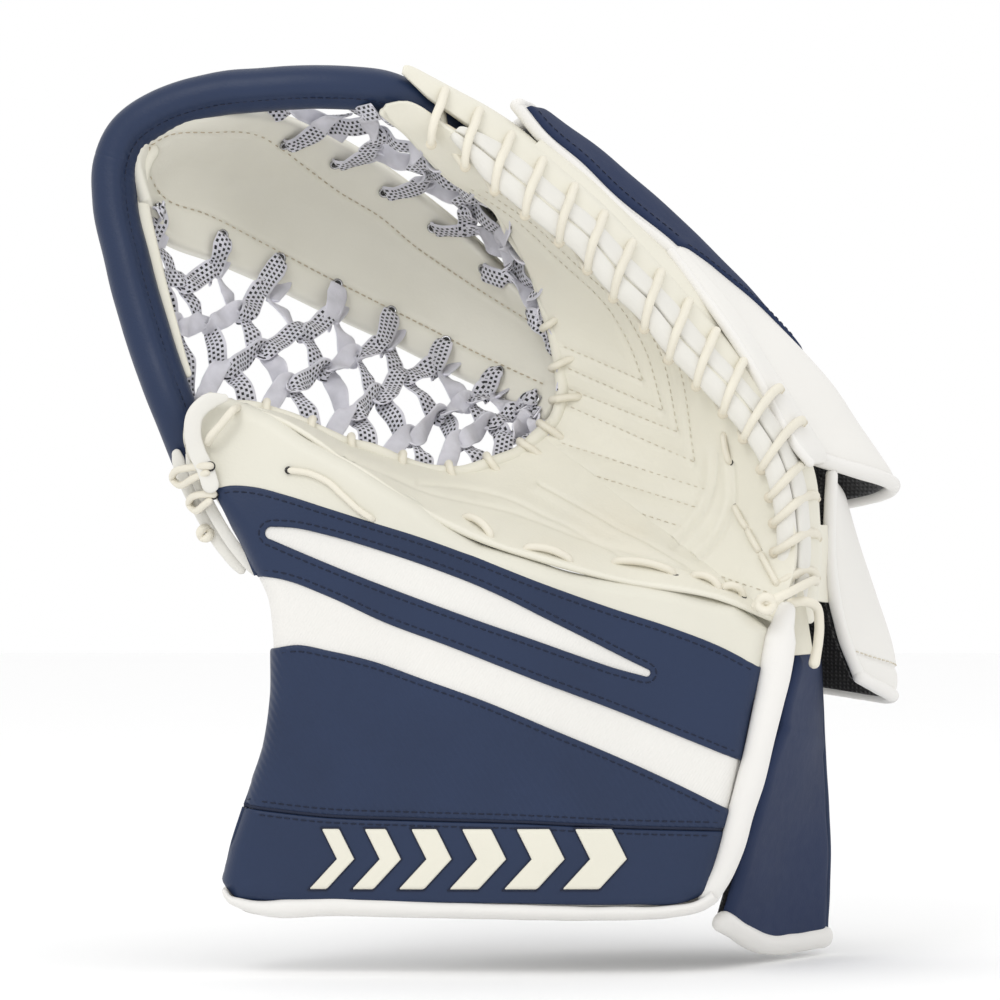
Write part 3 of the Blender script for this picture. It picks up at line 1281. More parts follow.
def net_surface(upper, lower, bow, surface):
    """The curved net between its eyelets and its foot.

    place(s, t) gives a point and the direction out of the net: s counts eyelets, and t is 0 at them and 1 at
    the foot. Close to the web the net lies in front of it.
    """
    last = len(upper) - 1
    run = run_along(upper)
    run /= run[-1]

    def ends(s):
        s = np.clip(s, 0, last)
        return smooth(upper, [np.interp(s, np.arange(last + 1), run)])[0], smooth(lower, [s / last])[0]

    def place(s, t):
        a, b = ends(s)
        hang = b - a
        p = a + hang * t + np.asarray(bow, float) * 4 * np.clip(t, 0, 1) * (1 - np.clip(t, 0, 1))
        (a1, b1), (a2, b2) = ends(s + 0.3), ends(s - 0.3)
        n = unit(np.cross(hang, (a1 * (1 - t) + b1 * t) - (a2 * (1 - t) + b2 * t)))
        if n[1] > 0:
            n = -n
        near_web = 1 - ease(t / 0.25)
        _, web_n = surface.at(a[0], a[2])
        p = p + (s - np.clip(s, 0, last)) * (a1 - a2) / 0.3
        q, _ = surface.at(p[0], p[2])
        gap = surface.tree.find((p[0], p[2], 0))[2]
        if gap < 2.5 and q[1] < p[1]:
            p[1] = q[1]
        return p, unit(n * (1 - near_web) + web_n * near_web)

    return place


def first_hook(laces, place, k, knot, lean, width, rng):
    """The lace that comes out of eyelet `k`, hooks the first row and goes back behind it."""
    turn = rng.uniform(-0.35, 0.35) + (math.pi if rng.uniform() < 0.2 else 0)
    lace_strand(laces, place, [
        (k, 0.0, -0.6, turn, 0.5), (k + lean * 0.1, knot * 0.08, 2.7, turn, 0.9),
        (k + lean * 0.4, knot * 0.4, 3.3, turn + 0.15, 1.08),
        (k + lean * 0.9, knot * 0.85, 2.4, turn - 0.1, 1.0),
        (k + lean, knot + 0.045, 0.2, turn, 0.8), (k + lean + 0.05, knot + 0.05, -2.4, turn, 0.7),
    ], width)
    turn = math.pi + rng.uniform(-0.5, 0.5)
    lace_strand(laces, place, [
        (k + 0.22, -0.01, -4.4, turn, 0.8), (k + 0.2, knot * 0.45, -2.0, turn + 0.3, 0.9),
        (k + 0.06, knot + 0.03, -0.6, turn + 0.6, 0.8),
    ], width * 0.9)


def hooked_row(laces, place, j, levels, slip, width, rng):
    """The lace of row `j`, which hooks the rows above and below it in turn and turns over as it goes."""
    spread, reach = 0.11, 0.035
    count = slip.shape[1]
    turn = rng.uniform(-0.3, 0.3) + math.pi * (j % 2)
    stops = []
    for i in range(count):
        top = (i + j) % 2 == 1
        level = j if top else j + 1
        way = -1 if top else 1
        ds, dt = slip[level, i]
        s, t = (i - 1) / 2 + ds, levels[level] + dt
        over = 1.7 if top else -1.7
        sunk = 3.5 if level == len(levels) - 1 else 0.0
        dotted = math.cos(turn) > 0
        spin = math.pi * (1 if rng.uniform() < 0.8 else -1) * (0 if dotted and rng.uniform() < 0.38 else 1)
        stops += [
            (s - spread, t - way * reach * 0.3, over - sunk, turn + 0.15 * spin, 0.95),
            (s, t + way * reach, -sunk, turn + 0.5 * spin, 0.7),
            (s + spread, t - way * reach * 0.3, -over - sunk, turn + 0.85 * spin, 0.95),
        ]
        turn += spin + rng.uniform(-0.2, 0.2)
        if i < count - 1:
            other = j + 1 if top else j
            step_s, step_t = slip[other, i + 1]
            target = levels[other] + step_t
            stops.append(((s + i / 2 + step_s) / 2, (t + target) / 2, rng.uniform(-0.5, 0.5), turn, 1.0))
    lace_strand(laces, place, stops, width * rng.uniform(0.93, 1.03))


def make_net(name, node, upper, lower, levels, blend, bow, seed):
    """Laces hooked through each other in rows, from eyelets in the web to the pocket's rolled edge."""
    rng = np.random.RandomState(seed)
    surface, _ = web
    place = net_surface(upper, lower, bow, surface)
    laces, metal_rings, holes = Mesh(), Mesh(), Mesh()
    slip = rng.uniform(-1, 1, (len(levels), 2 * len(upper) + 1, 2)) * NET_SLIP
    for k in range(len(upper)):
        p, _ = place(k, 0.0)
        _, web_n = surface.at(p[0], p[2])
        eyelet(metal_rings, holes, p + web_n * 1.3, web_n)
        lean, knot = slip[0, 2 * k + 1] + (-0.06, levels[0])
        first_hook(laces, place, k, knot, lean, NET_WIDTH, rng)
    for j in range(len(levels) - 1):
        hooked_row(laces, place, j, levels, slip, NET_WIDTH, rng)
    finish_piece(laces.make(name, NET), blend=blend, replaces=(node,), slot="net_lace")
    finish_piece(metal_rings.make(name + "_eyelets", METAL), blend=FINGER_HALF)
    finish_piece(holes.make(name + "_eyelet_holes", HOLE), blend=FINGER_HALF)


NET_START = [(-104, 9, 320.5), (-96, 5, 322.5), (-86.5, 4, 323.6), (-77, 5, 322.4), (-69, 9, 318.5),
             (-62, 14, 314)]


def make_net_start(width):
    """The first run of the finger net's lace, along the web's edge under the bar."""
    def place(s, _):
        return smooth(NET_START, [s])[0], unit([0.0, -1.0, -0.25])

    stops = [(0.0, 0.0, -2.0, 0.4, 0.6), (0.14, 0.0, 0.0, 0.2, 1.0), (0.34, 0.0, 0.6, -0.3, 1.0),
             (0.52, 0.0, 0.4, 2.6, 0.8), (0.78, 0.0, 0.0, 3.3, 1.0), (1.0, 0.0, -1.5, 3.1, 0.8)]
    mesh = Mesh()
    lace_strand(mesh, place, stops, width)
    finish_piece(mesh.make("finger_net_start", NET), blend=FINGER_HALF, slot="net_lace")


def margin_line(web, share, places):
    """Points on the web at `share` of the way from its lower to its upper edge, at each x in `places`."""
    _, grid = web
    line = grid[int(round(share * (len(grid) - 1)))]
    return read_rows(places, line[:, 0], line)


palm_surface = make_palm()
thumb_surface = make_thumb_leather()
make_rolls()
make_bar()
web = make_web()
NET_FOOT = [(-132, -24, 234), (-122, -27, 215)] + THUMB_ROLL[1:]
make_net("thumb_net", "pocket_net_thumb", margin_line(web, 0.17, [-137, -112.5, -90, -67, -45, -22, 0, 15]),
         NET_FOOT, (0.25, 0.43, 0.61, 0.79, 1.0), ("cuff", "web", (-45, -22, 188), (-60, 44, 238)),
         (-2, 5, 2), 5)
make_net("finger_net", "pocket_net_finger", margin_line(web, 0.83, [-87, -67, -47, -27, -6, 13]),
         FINGER_ROLL[::-1][:11], (0.36, 0.58, 0.8, 1.05), ("web", "fingers", (-22, 40, 283), (-10, 0, 286)),
         (2, 3, 4), 6)
make_net_start(7.6)


# ------------------------------------------------------------------ rim of the finger side

PALM_RIM = [(-42, -34, 326), (-29, -35, 319), (-11, -35, 308), (4, -34, 296), (21, -34, 282), (35, -34, 271),
            (47, -34, 257), (60, -34, 245), (72, -34, 230), (86, -35, 216), (101, -37, 199), (110, -40, 184),
            (114, -42, 171), (116, -44, 156), (115, -47, 136), (112, -50, 122)]
BACK_RIM = [(-38, -26, 339), (-21, -20, 329), (-10, -17, 323), (11, -12, 307), (35, -10, 287), (61, -9, 261),
            (87, -9, 233), (101, -10, 216), (115, -12, 200), (123, -16, 180), (125, -22, 156),
            (124, -28, 136), (122, -34, 119)]
RIM_OUT = (0.5, -0.6, 0.6)
RIM_HOLES = np.concatenate([np.linspace(0.085, 0.67, 11), [0.72, 0.775, 0.82, 0.86, 0.905, 0.96]])
BACK_HOLES = np.concatenate([np.linspace(0.065, 0.61, 11), [0.665, 0.72, 0.775, 0.825, 0.88, 0.935]])
WELT_START = 0.1
RIM_STITCH = [(0.0, -2.6, 0.0), (0.03, 1.0, 0.1), (0.17, 2.9, 0.5), (0.36, 3.6, 0.9), (0.6, 4.0, 1.0),
              (0.82, 3.4, 0.7), (0.96, 2.0, 0.2), (1.0, -2.6, 0.0)]


def rim_lines(count=80):
    """The palm's outer edge, the back's edge, and the way in from the first towards the pocket."""
    palm = smooth(PALM_RIM, evenly(count))
    back = smooth(BACK_RIM, evenly(count))
    inward = unit(np.cross(np.gradient(palm, axis=0), [0, 1, 0]))
    inward = inward * np.sign((inward @ np.array([-0.7, 0, -0.7])))[:, None]
    return palm, back, inward


def make_rim_welts():
    """Two welts side by side along the edge."""
    palm, back, inward = rim_lines()
    deep = np.array([0.0, 1.0, 0.0])
    vs = WELT_START + (1 - WELT_START) * to_edges(170, 0.02)
    grow = np.interp(evenly(80), [0, WELT_START, WELT_START + 0.07, 1], [0.3, 0.3, 1, 1])[:, None]
    front_ribs = [palm + inward * 7.6 * grow + deep * 1.2, palm + inward * 3.8 * grow - deep * 0.8,
                  palm - deep * 0.4]
    over = back - palm
    side_ribs = [palm + over * 0.02 - inward * 0.3, palm + over * 0.25 * grow - inward * 1.2,
                 palm + over * 0.5 * grow - inward * 0.6]
    for name, ribs, node, facing in (
        ("palm_edge_welt", front_ribs, "palm_edge_binding", (0, -1, 0)),
        ("back_edge_welt", side_ribs, "back_edge_binding", RIM_OUT),
    ):
        grid = loft(ribs, to_edges(16, 0.2), vs)
        edge = border_distance(grid, "uU")
        ends = border_distance(grid, "vV")
        puff = (0.5 + 1.1 * rounding(edge, 2.2) + 0.22 * ripples(grid, 12, 61)) * rounding(ends, 5)
        sheet_piece(name, RIM_WHITE, grid, puff, -1.2, facing, blend=FINGER_HALF, replaces=(node,),
                    slot="skin_white", padded=0.8)


def make_rim_lace():
    """The lace that winds over both welts, and its returns underneath."""
    palm, back, inward = rim_lines()
    laces, holes = Mesh(), Mesh()
    deep = np.array([0.0, 1.0, 0.0])
    out = unit(np.array(RIM_OUT))
    front = -deep
    rng = np.random.RandomState(9)
    previous = None
    for a, b in zip(RIM_HOLES, BACK_HOLES):
        p = smooth(palm, [a])[0] + smooth(inward, [a])[0] * 8.8 + deep * 0.8
        q = smooth(back, [b])[0]
        # Beside the guard's lap the lace reaches further over the rim.
        q = q + np.array([5.4, 0.0, 2.2]) * np.exp(-(((q[2] - 205) / 11) ** 2))
        corner = smooth(palm, [(a + b) / 2])[0]
        chord = (q - p) * (1, 0, 1)
        bulge = unit(np.cross(chord, [0, 1, 0]))
        bulge = bulge * (1.7 + rng.uniform(-0.4, 0.4)) * (1 if bulge[2] > 0 else -1)
        path = []
        for at, lift, side in RIM_STITCH:
            depth = np.interp(at, [0, 0.36, 1], [p[1], corner[1], q[1]])
            over = unit(front * (1 - ease((at - 0.2) / 0.4)) + out * ease((at - 0.2) / 0.4))
            path.append(p * (1, 0, 1) + chord * at + deep * depth + over * lift + bulge * side)
        thick = np.interp(evenly(40), [0, 0.25, 0.5, 1], [1.5, 1.75, 1.95, 1.9])
        laces.tube(smooth(path, evenly(40)), thick, sides=10, round_ends=False)
        for centre, normal in ((p, front), (q, out)):
            disc = [centre - normal * 0.2, centre + normal * 1.3]
            holes.tube(disc, 2.2, sides=14, round_ends=False)
        if previous is not None:
            under = [previous - out * 3.0, (previous + p) / 2 - out * 6, p - front * 3.0]
            laces.tube(smooth(under, evenly(12)), 1.7, sides=8, round_ends=False)
        previous = q
    finish_piece(laces.make("rim_spiral_lace", LACE), blend=FINGER_HALF, replaces=("rim_lace",),
                 slot="leather_lace")
    finish_piece(holes.make("rim_lace_holes", EDGE_CREAM), blend=FINGER_HALF)


# ------------------------------------------------------------------ back of the hand and guards

BACKHAND = [
    [(-34, -21, 341), (-8, -13, 326), (37, -6, 290), (89, -5, 236), (118, -8, 203), (128, -17, 158),
     (126, -28, 130)],
    [(-28, -8, 334), (2, 0, 319), (46, 9, 279), (86, 10, 236), (115, 8, 194), (126, 2, 160), (126, -6, 130)],
    [(-26, 10, 328), (4, 26, 308), (46, 34, 270), (86, 36, 228), (112, 36, 192), (120, 34, 158),
     (120, 30, 132)],
    [(-30, 22, 314), (-6, 42, 290), (32, 50, 250), (68, 52, 210), (96, 52, 178), (102, 50, 152),
     (104, 48, 132)],
    [(-26, 24, 300), (2, 44, 272), (28, 52, 232), (50, 54, 196), (64, 54, 166), (68, 52, 146), (70, 50, 132)],
]
FINGER_GUARD = [
    [(6, -6, 325), (15, -3, 314), (32, 2, 299), (49, 4, 283), (69, 5, 267), (88, 5, 242), (104, 2, 219),
     (124, -4, 184)],
    [(12, 20, 323), (33.4, 28, 308.3), (71.2, 32, 276.2), (109.6, 33, 236.6), (135, 33, 208),
     (145.5, 31.5, 191.5), (158, 29.5, 173)],
    [(4, 46, 318), (30, 60, 292), (65, 64, 259.5), (101.5, 65.5, 217.5), (123, 66.5, 188.5),
     (135, 68.5, 166)],
    [(-16, 50, 302), (4, 66, 272), (34, 70, 236), (62, 72, 200), (84, 72, 168)],
]
WRIST_GUARD = [
    [(131, 2, 178), (130, -2, 150), (132, -4, 128), (136, -4, 112), (142, 0, 97)],
    [(134, 28, 171), (141.5, 29, 150), (149, 30, 127), (156, 31, 103), (157, 31, 88)],
    [(120, 56, 160), (124, 60, 140), (128, 64, 117), (129, 66, 91)],
    [(66, 60, 160), (64, 62, 140), (62, 66, 117), (60, 68, 94)],
]
SIDE_FLAP = [
    [(115, -49, 108), (107, -50, 76), (97, -50, 42), (85.5, -48, 2)],
    [(124, -14, 108), (119, -12, 70), (112, -12, 35), (104, -14, -10)],
    [(127, 20, 106), (129.5, 26, 61), (131.5, 28, 25), (130, 26, -11)],
]


def regrid(grid, us, vs, u, v):
    """Reads a grid at other shares u and v."""
    fu = np.interp(u, us, np.arange(len(us)))
    fv = np.interp(v, vs, np.arange(len(vs)))
    i = np.clip(fu.astype(int), 0, len(us) - 2)
    j = np.clip(fv.astype(int), 0, len(vs) - 2)
    a, b = (fu - i)[..., None], (fv - j)[..., None]
    low = grid[i, j] * (1 - b) + grid[i, j + 1] * b
    high = grid[i + 1, j] * (1 - b) + grid[i + 1, j + 1] * b
    return low * (1 - a) + high * a


def even_rows(lines, count=40):
    """Each line as the same number of points, so that they can be ribs of one grid."""
    return [smooth(line, evenly(count)) for line in lines]


def lofted(lines, us, vs):
    return loft(even_rows(lines), us, vs)


def make_backhand():
    """The leather over the back of the hand, and its lining."""
    palm, back, _ = rim_lines(40)
    share = np.interp(evenly(40), [0, 0.05, 0.12, 1], [0.8, 0.56, 0.44, 0.46])[:, None]
    start = palm * (1 - share) + back * share
    lines = even_rows([start, back + np.array([0.6, -0.6, 0.6])] + BACKHAND[1:])
    grid = loft(lines, to_edges(70, 0.03), to_edges(120, 0.02))
    soft = rounding(border_distance(grid), 3)
    height = (0.8 + 0.5 * ripples(grid, 40, 71)) * soft
    sheet_piece("backhand_skin", CREAM, grid, height, -2.6 * soft - 0.2, (0.5, 0.1, 0.7), "fingers",
                replaces=("backhand_board",), slot="palm_leather", padded=0.8)
    inner = loft(lines, 0.3 + 0.68 * to_edges(40, 0.05), 0.12 + 0.88 * to_edges(70, 0.04))
    sheet_piece("backhand_lining_cloth", LINING, inner, -4.6, -6.2 - 0.5 * ripples(inner, 24, 72),
                (0.5, 0.2, 0.7), "fingers", replaces=("backhand_lining",), slot="lining_black", padded=0.5)


def make_apron():
    """The strip of the backhand's leather that reaches under the finger guard's front edge."""
    near = [(11, -11, 307), (35, -9, 287), (61, -8, 261), (87, -8, 233), (101, -9, 216), (115, -11, 200),
            (122, -14, 182)]
    far = [(18, 1, 313), (34, 5, 300), (51, 7, 284), (70, 8, 268), (90, 8, 243), (106, 6, 219), (124, 1, 186)]
    middle = (np.array(near, float) + np.array(far, float)) / 2 + (0.5, -1.0, 0.5)
    grid = loft(even_rows([near, middle, far]), to_edges(14, 0.1), to_edges(90, 0.03))
    sheet_piece("backhand_apron", CREAM, grid, 0.9 + 0.3 * ripples(grid, 24, 73), -0.8, (0.5, -0.6, 0.6),
                "fingers", slot="palm_leather")


def edge_roll(name, line, radius, material, body, flatten=0.8, seed=5):
    """A rolled binding sewn along an edge."""
    path = resample(line, 2.0)
    mesh = Mesh()
    mesh.tube(path, radius * (1 + 0.05 * ripples(path, 14, seed)), sides=16, flatten=flatten,
              flat_towards=(0.0, 1.0, 0.1))
    finish_piece(mesh.make(name, material), body, padded=0.9)


def seam_on(name, grid, normals, lift, rows, material, body):
    """Stitching along rows of a grid, each given as a list of points on it."""
    mesh = Mesh()
    tree = tree_of(grid.reshape(-1, 3))
    flat_normals = normals.reshape(-1, 3)
    for row in rows:
        points = resample(row, 3.2)
        n = np.array([flat_normals[tree.find(p)[1]] for p in points])
        stitch(mesh, points + n * lift, n, 2.1, 0.28)
    finish_piece(mesh.make(name, material), body)


# How far the navy leather reaches across the finger guard, at places from its front edge to its back.
GUARD_COLOUR_EDGE = ([0, 0.06, 0.12, 0.25, 0.36, 0.6, 1], [0.455, 0.465, 0.495, 0.6, 0.72, 0.77, 0.78])
GUARD_OUT = (0.5, 0.3, 0.7)

GUARD_LAP = [
    [(68, 3, 266.5), (78, -1, 252.5), (88, -7, 238), (99.5, -13, 219.3), (109.8, -24.5, 198.2),
     (117, -33, 186.5), (121, -32, 182)],
    [(69.5, 4.5, 267.2), (80.5, 1, 253), (91, -2, 239), (102.5, -7.5, 220), (114, -16, 199.5),
     (121, -20, 187), (124, -19, 182)],
    [(71, 6, 268), (83, 4.5, 254), (94, 3, 240), (106, 1, 221), (119, -3, 200), (127, -6, 187),
     (129, -7, 182.5)],
]


def make_guard_lap():
    """The guard's front edge, lapped over the side of the rim down to the guard's mouth."""
    grid = loft(even_rows(GUARD_LAP, 60), to_edges(24, 0.1), to_edges(80, 0.04))
    top = 0.3 + 2.6 * rounding(border_distance(grid, "uV"), 5) + 0.25 * ripples(grid, 20, 83)
    n = sheet_piece("finger_guard_lap", WHITE, grid, top, -0.6, RIM_OUT, "fingers", slot="guard_white",
                    padded=0.8)
    edge_roll("finger_guard_lap_roll", grid[0] + n[0] * 1.2, 2.0, BINDING, "fingers", seed=14)


def make_guard_panel(surface, us, vs):
    """The navy leather over the upper part of the finger guard, with its stitching."""
    pu = 0.015 + 0.955 * to_edges(70, 0.03)
    limit = np.interp(pu, *GUARD_COLOUR_EDGE)
    pv = 0.015 + (limit[:, None] - 0.015) * to_edges(90, 0.02)[None]
    panel = regrid(surface, us, vs, np.broadcast_to(pu[:, None], pv.shape), pv)
    top = 0.15 + 1.2 * rounding(border_distance(panel), 1.5)
    n = sheet_piece("finger_guard_navy_skin", NAVY_MATTE, panel, top, -0.4, GUARD_OUT, "fingers",
                    replaces=("finger_guard_panel",), slot="skin_navy")
    rows = [panel[6, 6:-6], panel[6:30, -6]]
    seam_on("finger_guard_stitches", panel, n, 1.4, [row[::4] for row in rows], NAVY_THREAD, "fingers")


def make_finger_guard():
    """The padded guard over the fingers. Gives back its outer surface, with the grid's shares."""
    us = to_edges(80, 0.03)
    vs = to_edges(110, 0.03)
    grid = lofted(FINGER_GUARD, us, vs)
    edge = border_distance(grid)
    seam_u = np.abs(us - 0.36)[:, None] * 160
    channel = 1 - 0.55 * np.exp(-((seam_u / 2.0) ** 2))
    height = (1.2 + 3.3 * rounding(edge, 7)) * channel + 0.3 * ripples(grid, 34, 81)
    n = sheet_piece("finger_guard_skin", WHITE, grid, height, 0.0, GUARD_OUT, "fingers",
                    replaces=("finger_guard_shell",), slot="guard_white", padded=0.85)
    inner = grid[9:-3, 3:-3]
    sheet_piece("finger_guard_lining_cloth", LINING, inner, -0.6, -2.6 - 0.4 * ripples(inner, 24, 82),
                GUARD_OUT, "fingers", replaces=("finger_guard_lining",), slot="lining_black", padded=0.5)
    surface = grid + n * height[..., None]
    make_guard_panel(surface, us, vs)
    for side, line, radius, seed in (
        ("front", grid[0] + np.array([0.3, -0.8, 0.3]), 2.4, 5),
        ("back", grid[-1] + n[-1] * 1.8, 2.6, 6),
        ("tip", grid[:, 0] + n[:, 0] * 1.6, 2.6, 7),
        ("flare", grid[:, -1] + n[:, -1] * 1.9, 3.1, 8),
    ):
        edge_roll(f"finger_guard_{side}_roll", line, radius, BINDING, "fingers", seed=seed)
    return surface, us, vs


HAND_STRAP = [
    ("hand_strap_loop_strip", "hand_strap_base", "fingers", 1.7, 1.9, (0.42, 0.96), (0.77, 0.92), WEBBING,
     PALE_THREAD, "strap_black"),
    ("hand_strap_pull_tab", "hand_strap_tab", "hand_strap", 4.4, 2.0, (0.44, 0.94), (0.76, 0.93), NAVY,
     NAVY_THREAD, "skin_navy"),
]


def make_hand_strap(surface, us, vs):
    """The strap's base strip on the finger guard, and its loose tab over it."""
    for name, node, body, lift, thick, (u0, u1), (v0, v1), material, thread, slot in HAND_STRAP:
        u = u0 + (u1 - u0) * to_edges(60, 0.03)
        v = v0 + (v1 - v0) * to_edges(22, 0.08)
        part = regrid(surface, us, vs, *np.meshgrid(u, v, indexing="ij"))
        top = lift + thick * (0.45 + 0.55 * rounding(border_distance(part), 1.6))
        n = sheet_piece(name, material, part, top, lift, (0.3, 0.8, 0.4), body, replaces=(node,), slot=slot)
        rows = [part[4:-4, 3], part[4:-4, -4], part[-5, 3:-3], part[4, 3:-3]]
        seam_on(name + "_stitches", part, n, lift + thick + 0.1, [row[::3] for row in rows], thread, body)


def make_wrist_guard():
    """The flared guard beside the wrist, with its lining, rolled edges and a sewn channel above the hem."""
    grid = lofted(WRIST_GUARD, to_edges(80, 0.03), to_edges(70, 0.05))
    outward = (0.6, 0.6, 0.1)
    edge = border_distance(grid)
    hem = border_distance(grid, "V")
    channel = 0.9 * np.exp(-(((hem - 11) / 1.1) ** 2))
    height = 1.4 + 3.0 * rounding(edge, 7) + 0.35 * ripples(grid, 36, 91) - channel
    n = sheet_piece("wrist_guard_skin", WHITE, grid, height, 0.0, outward, "wrist_guard",
                    replaces=("wrist_guard_shell",), slot="guard_white", padded=0.85)
    inner = grid[2:-2, 2:-2]
    sheet_piece("wrist_guard_lining_cloth", LINING, inner, -0.6, -2.7 - 0.4 * ripples(inner, 24, 92), outward,
                "wrist_guard", replaces=("wrist_guard_lining",), slot="lining_black", padded=0.5)
    for side, line, radius, seed in (
        ("front", grid[0] + n[0] * 1.8, 2.5, 11),
        ("hem", grid[:, -1] + n[:, -1] * 1.9, 2.9, 12),
        ("back", grid[-1] + n[-1] * 1.8, 2.4, 13),
    ):
        edge_roll(f"wrist_guard_{side}_roll", line, radius, BINDING, "wrist_guard", seed=seed)
    level = int(np.argmin(np.abs(hem[40] - 10.5)))
    surface = grid + n * height[..., None]
    seam_on("wrist_guard_stitches", surface, n, 0.15, [surface[4:-4:3, level]], PALE_THREAD, "wrist_guard")


def make_side_flap():
    """The navy flap beside the cuff, with its lining and rolled edges."""
    grid = lofted(SIDE_FLAP, to_edges(60, 0.04), to_edges(80, 0.04))
    outward = (0.9, -0.4, 0.1)
    crease = np.exp(-(((grid[..., 2] - 74 + 0.5 * (grid[..., 0] - 120)) / 3.0) ** 2))
    height = 0.6 + 2.6 * rounding(border_distance(grid), 6) + 0.45 * ripples(grid, 38, 101) + 0.8 * crease
    n = sheet_piece("side_flap_skin", NAVY_MATTE, grid, height, 0.0, outward, "side_flap",
                    replaces=("side_flap_panel",), slot="skin_navy", padded=0.8)
    sheet_piece("side_flap_lining_cloth", LINING, grid[2:-2, 2:-2], -0.5, -2.4, outward, "side_flap",
                replaces=("side_flap_lining",), slot="lining_black")
    bottom = grid[:, -1] + n[:, -1] * 1.5 + np.array([0, 0, 2.0])
    edge_roll("side_flap_bottom_roll", bottom, 4.4, BINDING, "side_flap", 0.75, seed=14)
    edge_roll("side_flap_side_roll", (grid[-1] + n[-1] * 1.2)[4:], 1.7, NAVY, "side_flap", seed=15)


# ------------------------------------------------------------------ thumb, straps and sleeves

THUMB_PAD = [
    [(-112, -34, 200), (-88, -27, 196), (-61, -22, 186), (-40, -16, 177), (-16, -6, 172), (5, 6, 174)],
    [(-108, -28, 178), (-84, -18, 165), (-58, -12, 154), (-34, -8, 146), (-12, -2, 142), (8, 6, 146)],
    [(-100, -34, 152), (-80, -24, 140), (-55, -18, 126), (-30, -14, 116), (-8, -10, 114), (12, -6, 116)],
]


def make_thumb_back():
    """The padding behind the thumb, with one sewn channel along it."""
    us = to_edges(50, 0.05)
    vs = to_edges(90, 0.04)
    grid = lofted(THUMB_PAD, us, vs)
    edge = border_distance(grid)
    height = 1.0 + 7.0 * rounding(edge, 11) + 0.5 * ripples(grid, 36, 111)
    height = height - 1.6 * np.exp(-(((np.arange(len(us))[:, None] / len(us) - 0.5) / 0.025) ** 2))
    sheet_piece("thumb_back_skin", NAVY, grid, height, 0.0, (0, 1, 0), "cuff", replaces=("thumb_back_pad",),
                slot="skin_navy", padded=0.85)


def over_lace(mesh, holes, a, b, normal, radius=1.6, rise=1.9):
    """One stitch of round lace, out of a hole at `a` and back in at `b`."""
    a, b, normal = (np.asarray(v, float) for v in (a, b, normal))
    third = (b - a) * 0.22
    path = [a - normal * 2.4, a + normal * 0.7 + third * 0.25, a + third + normal * rise,
            b - third + normal * rise, b + normal * 0.7 - third * 0.25, b - normal * 2.4]
    mesh.tube(smooth(path, evenly(26)), radius, sides=10, round_ends=False)
    for centre in (a, b):
        holes.tube([centre - normal * 0.5, centre + normal * 0.2], radius * 1.05, sides=14, round_ends=False)


def make_thumb_edge_band():
    """The rounded band over the end of the thumb's edge."""
    band = Mesh()
    path = resample([(-107, -62, 207.5), (-113, -63, 206), (-118, -64, 201), (-119, -64.5, 194),
                     (-117, -65, 186), (-114, -66, 180), (-112, -66.3, 174)], 1.0)
    swell = np.minimum(1, 0.5 + 4 * evenly(len(path)))
    band.tube(path, 3.4 * swell, sides=16, flatten=0.24, flat_towards=(0.0, 1.0, 0.0))
    finish_piece(band.make("thumb_edge_band", RIM_WHITE), "cuff", slot="skin_white")


def make_thumb_edge_strips():
    """The two white strips down the thumb's outer side."""
    front = np.array([(-126.5, -44, 186), (-124.5, -46, 179), (-118.5, -47, 166), (-110, -48, 152),
                      (-101, -50, 141)])
    strips = Mesh()
    for shift, width in (((0, 0, 0), 2.7), ((5.6, -7, -0.5), 2.4)):
        path = resample(front + shift, 2.0)
        run = evenly(len(path))
        ends = np.minimum(1, 0.75 + 5 * np.minimum(run, 0.9 - 0.9 * run))
        strips.tube(path, width * ends, sides=14, flatten=0.45, flat_towards=(0.2, 1.0, 0.1))
    finish_piece(strips.make("thumb_edge_strips", RIM_WHITE), "cuff", slot="skin_white", padded=0.8)


def make_thumb_edge_laces():
    """The loops and knot that hold the strips, a lace at the thumb's end, and one over the thumb leather."""
    laces, holes = Mesh(), Mesh()
    for hole, far in ((-112, -66.4, 181), (-124.5, -50, 178)), ((-111, -63, 170), (-118, -50, 168)):
        hole, far = np.array(hole, float), np.array(far, float)
        middle = (hole + far) / 2
        path = [hole + (0, 3, 0), hole + (0, -1.2, 0.2), middle + (-1, -4.5, 1.2), far + (-2.6, -3, 0.4),
                far + (-3.2, 1, -1.8), far + (-1.6, -1, -3.6), middle + (0, -4.5, -2.8),
                hole + (-1.5, -0.6, -2.4)]
        laces.tube(smooth(path, evenly(50)), 1.45, sides=10)
        holes.tube([hole + (0, 0.6, 0), hole + (0, -0.9, 0)], 2.0, sides=14, round_ends=False)
    t = np.linspace(0, 6.0, 26)
    knot = np.stack([np.cos(t), 0.6 * np.sin(2 * t), np.sin(t)], axis=1)
    laces.tube((-115.0, -49.0, 155.0) + 2.0 * knot, 1.7, sides=9)
    thumb_top = [(-102, -57, 204), (-104, -65.5, 202), (-108, -66, 197), (-112, -66, 192.5), (-113, -63, 190)]
    laces.tube(smooth(thumb_top, evenly(24)), 1.6, sides=10)
    run = [(-81.5, 179.3), (-74, 178.3), (-66, 174.6), (-60, 169.2), (-54, 163.8), (-49, 160.5)]
    points, normals = cuff_skin_at(smooth(run, evenly(40)), 1.6)
    points[0] -= normals[0] * 2.0
    points[-1] -= normals[-1] * 1.6
    laces.tube(smooth(points, evenly(60)), 1.3, sides=10, round_ends=False)
    holes.tube([points[0] + normals[0] * 1.2, points[0] + normals[0] * 2.3], 1.5, sides=14, round_ends=False)
    finish_piece(laces.make("thumb_edge_laces", LACE), "cuff", replaces=("thumb_edge_lace",),
                 slot="leather_lace")
    finish_piece(holes.make("thumb_lace_holes", HOLE), "cuff")


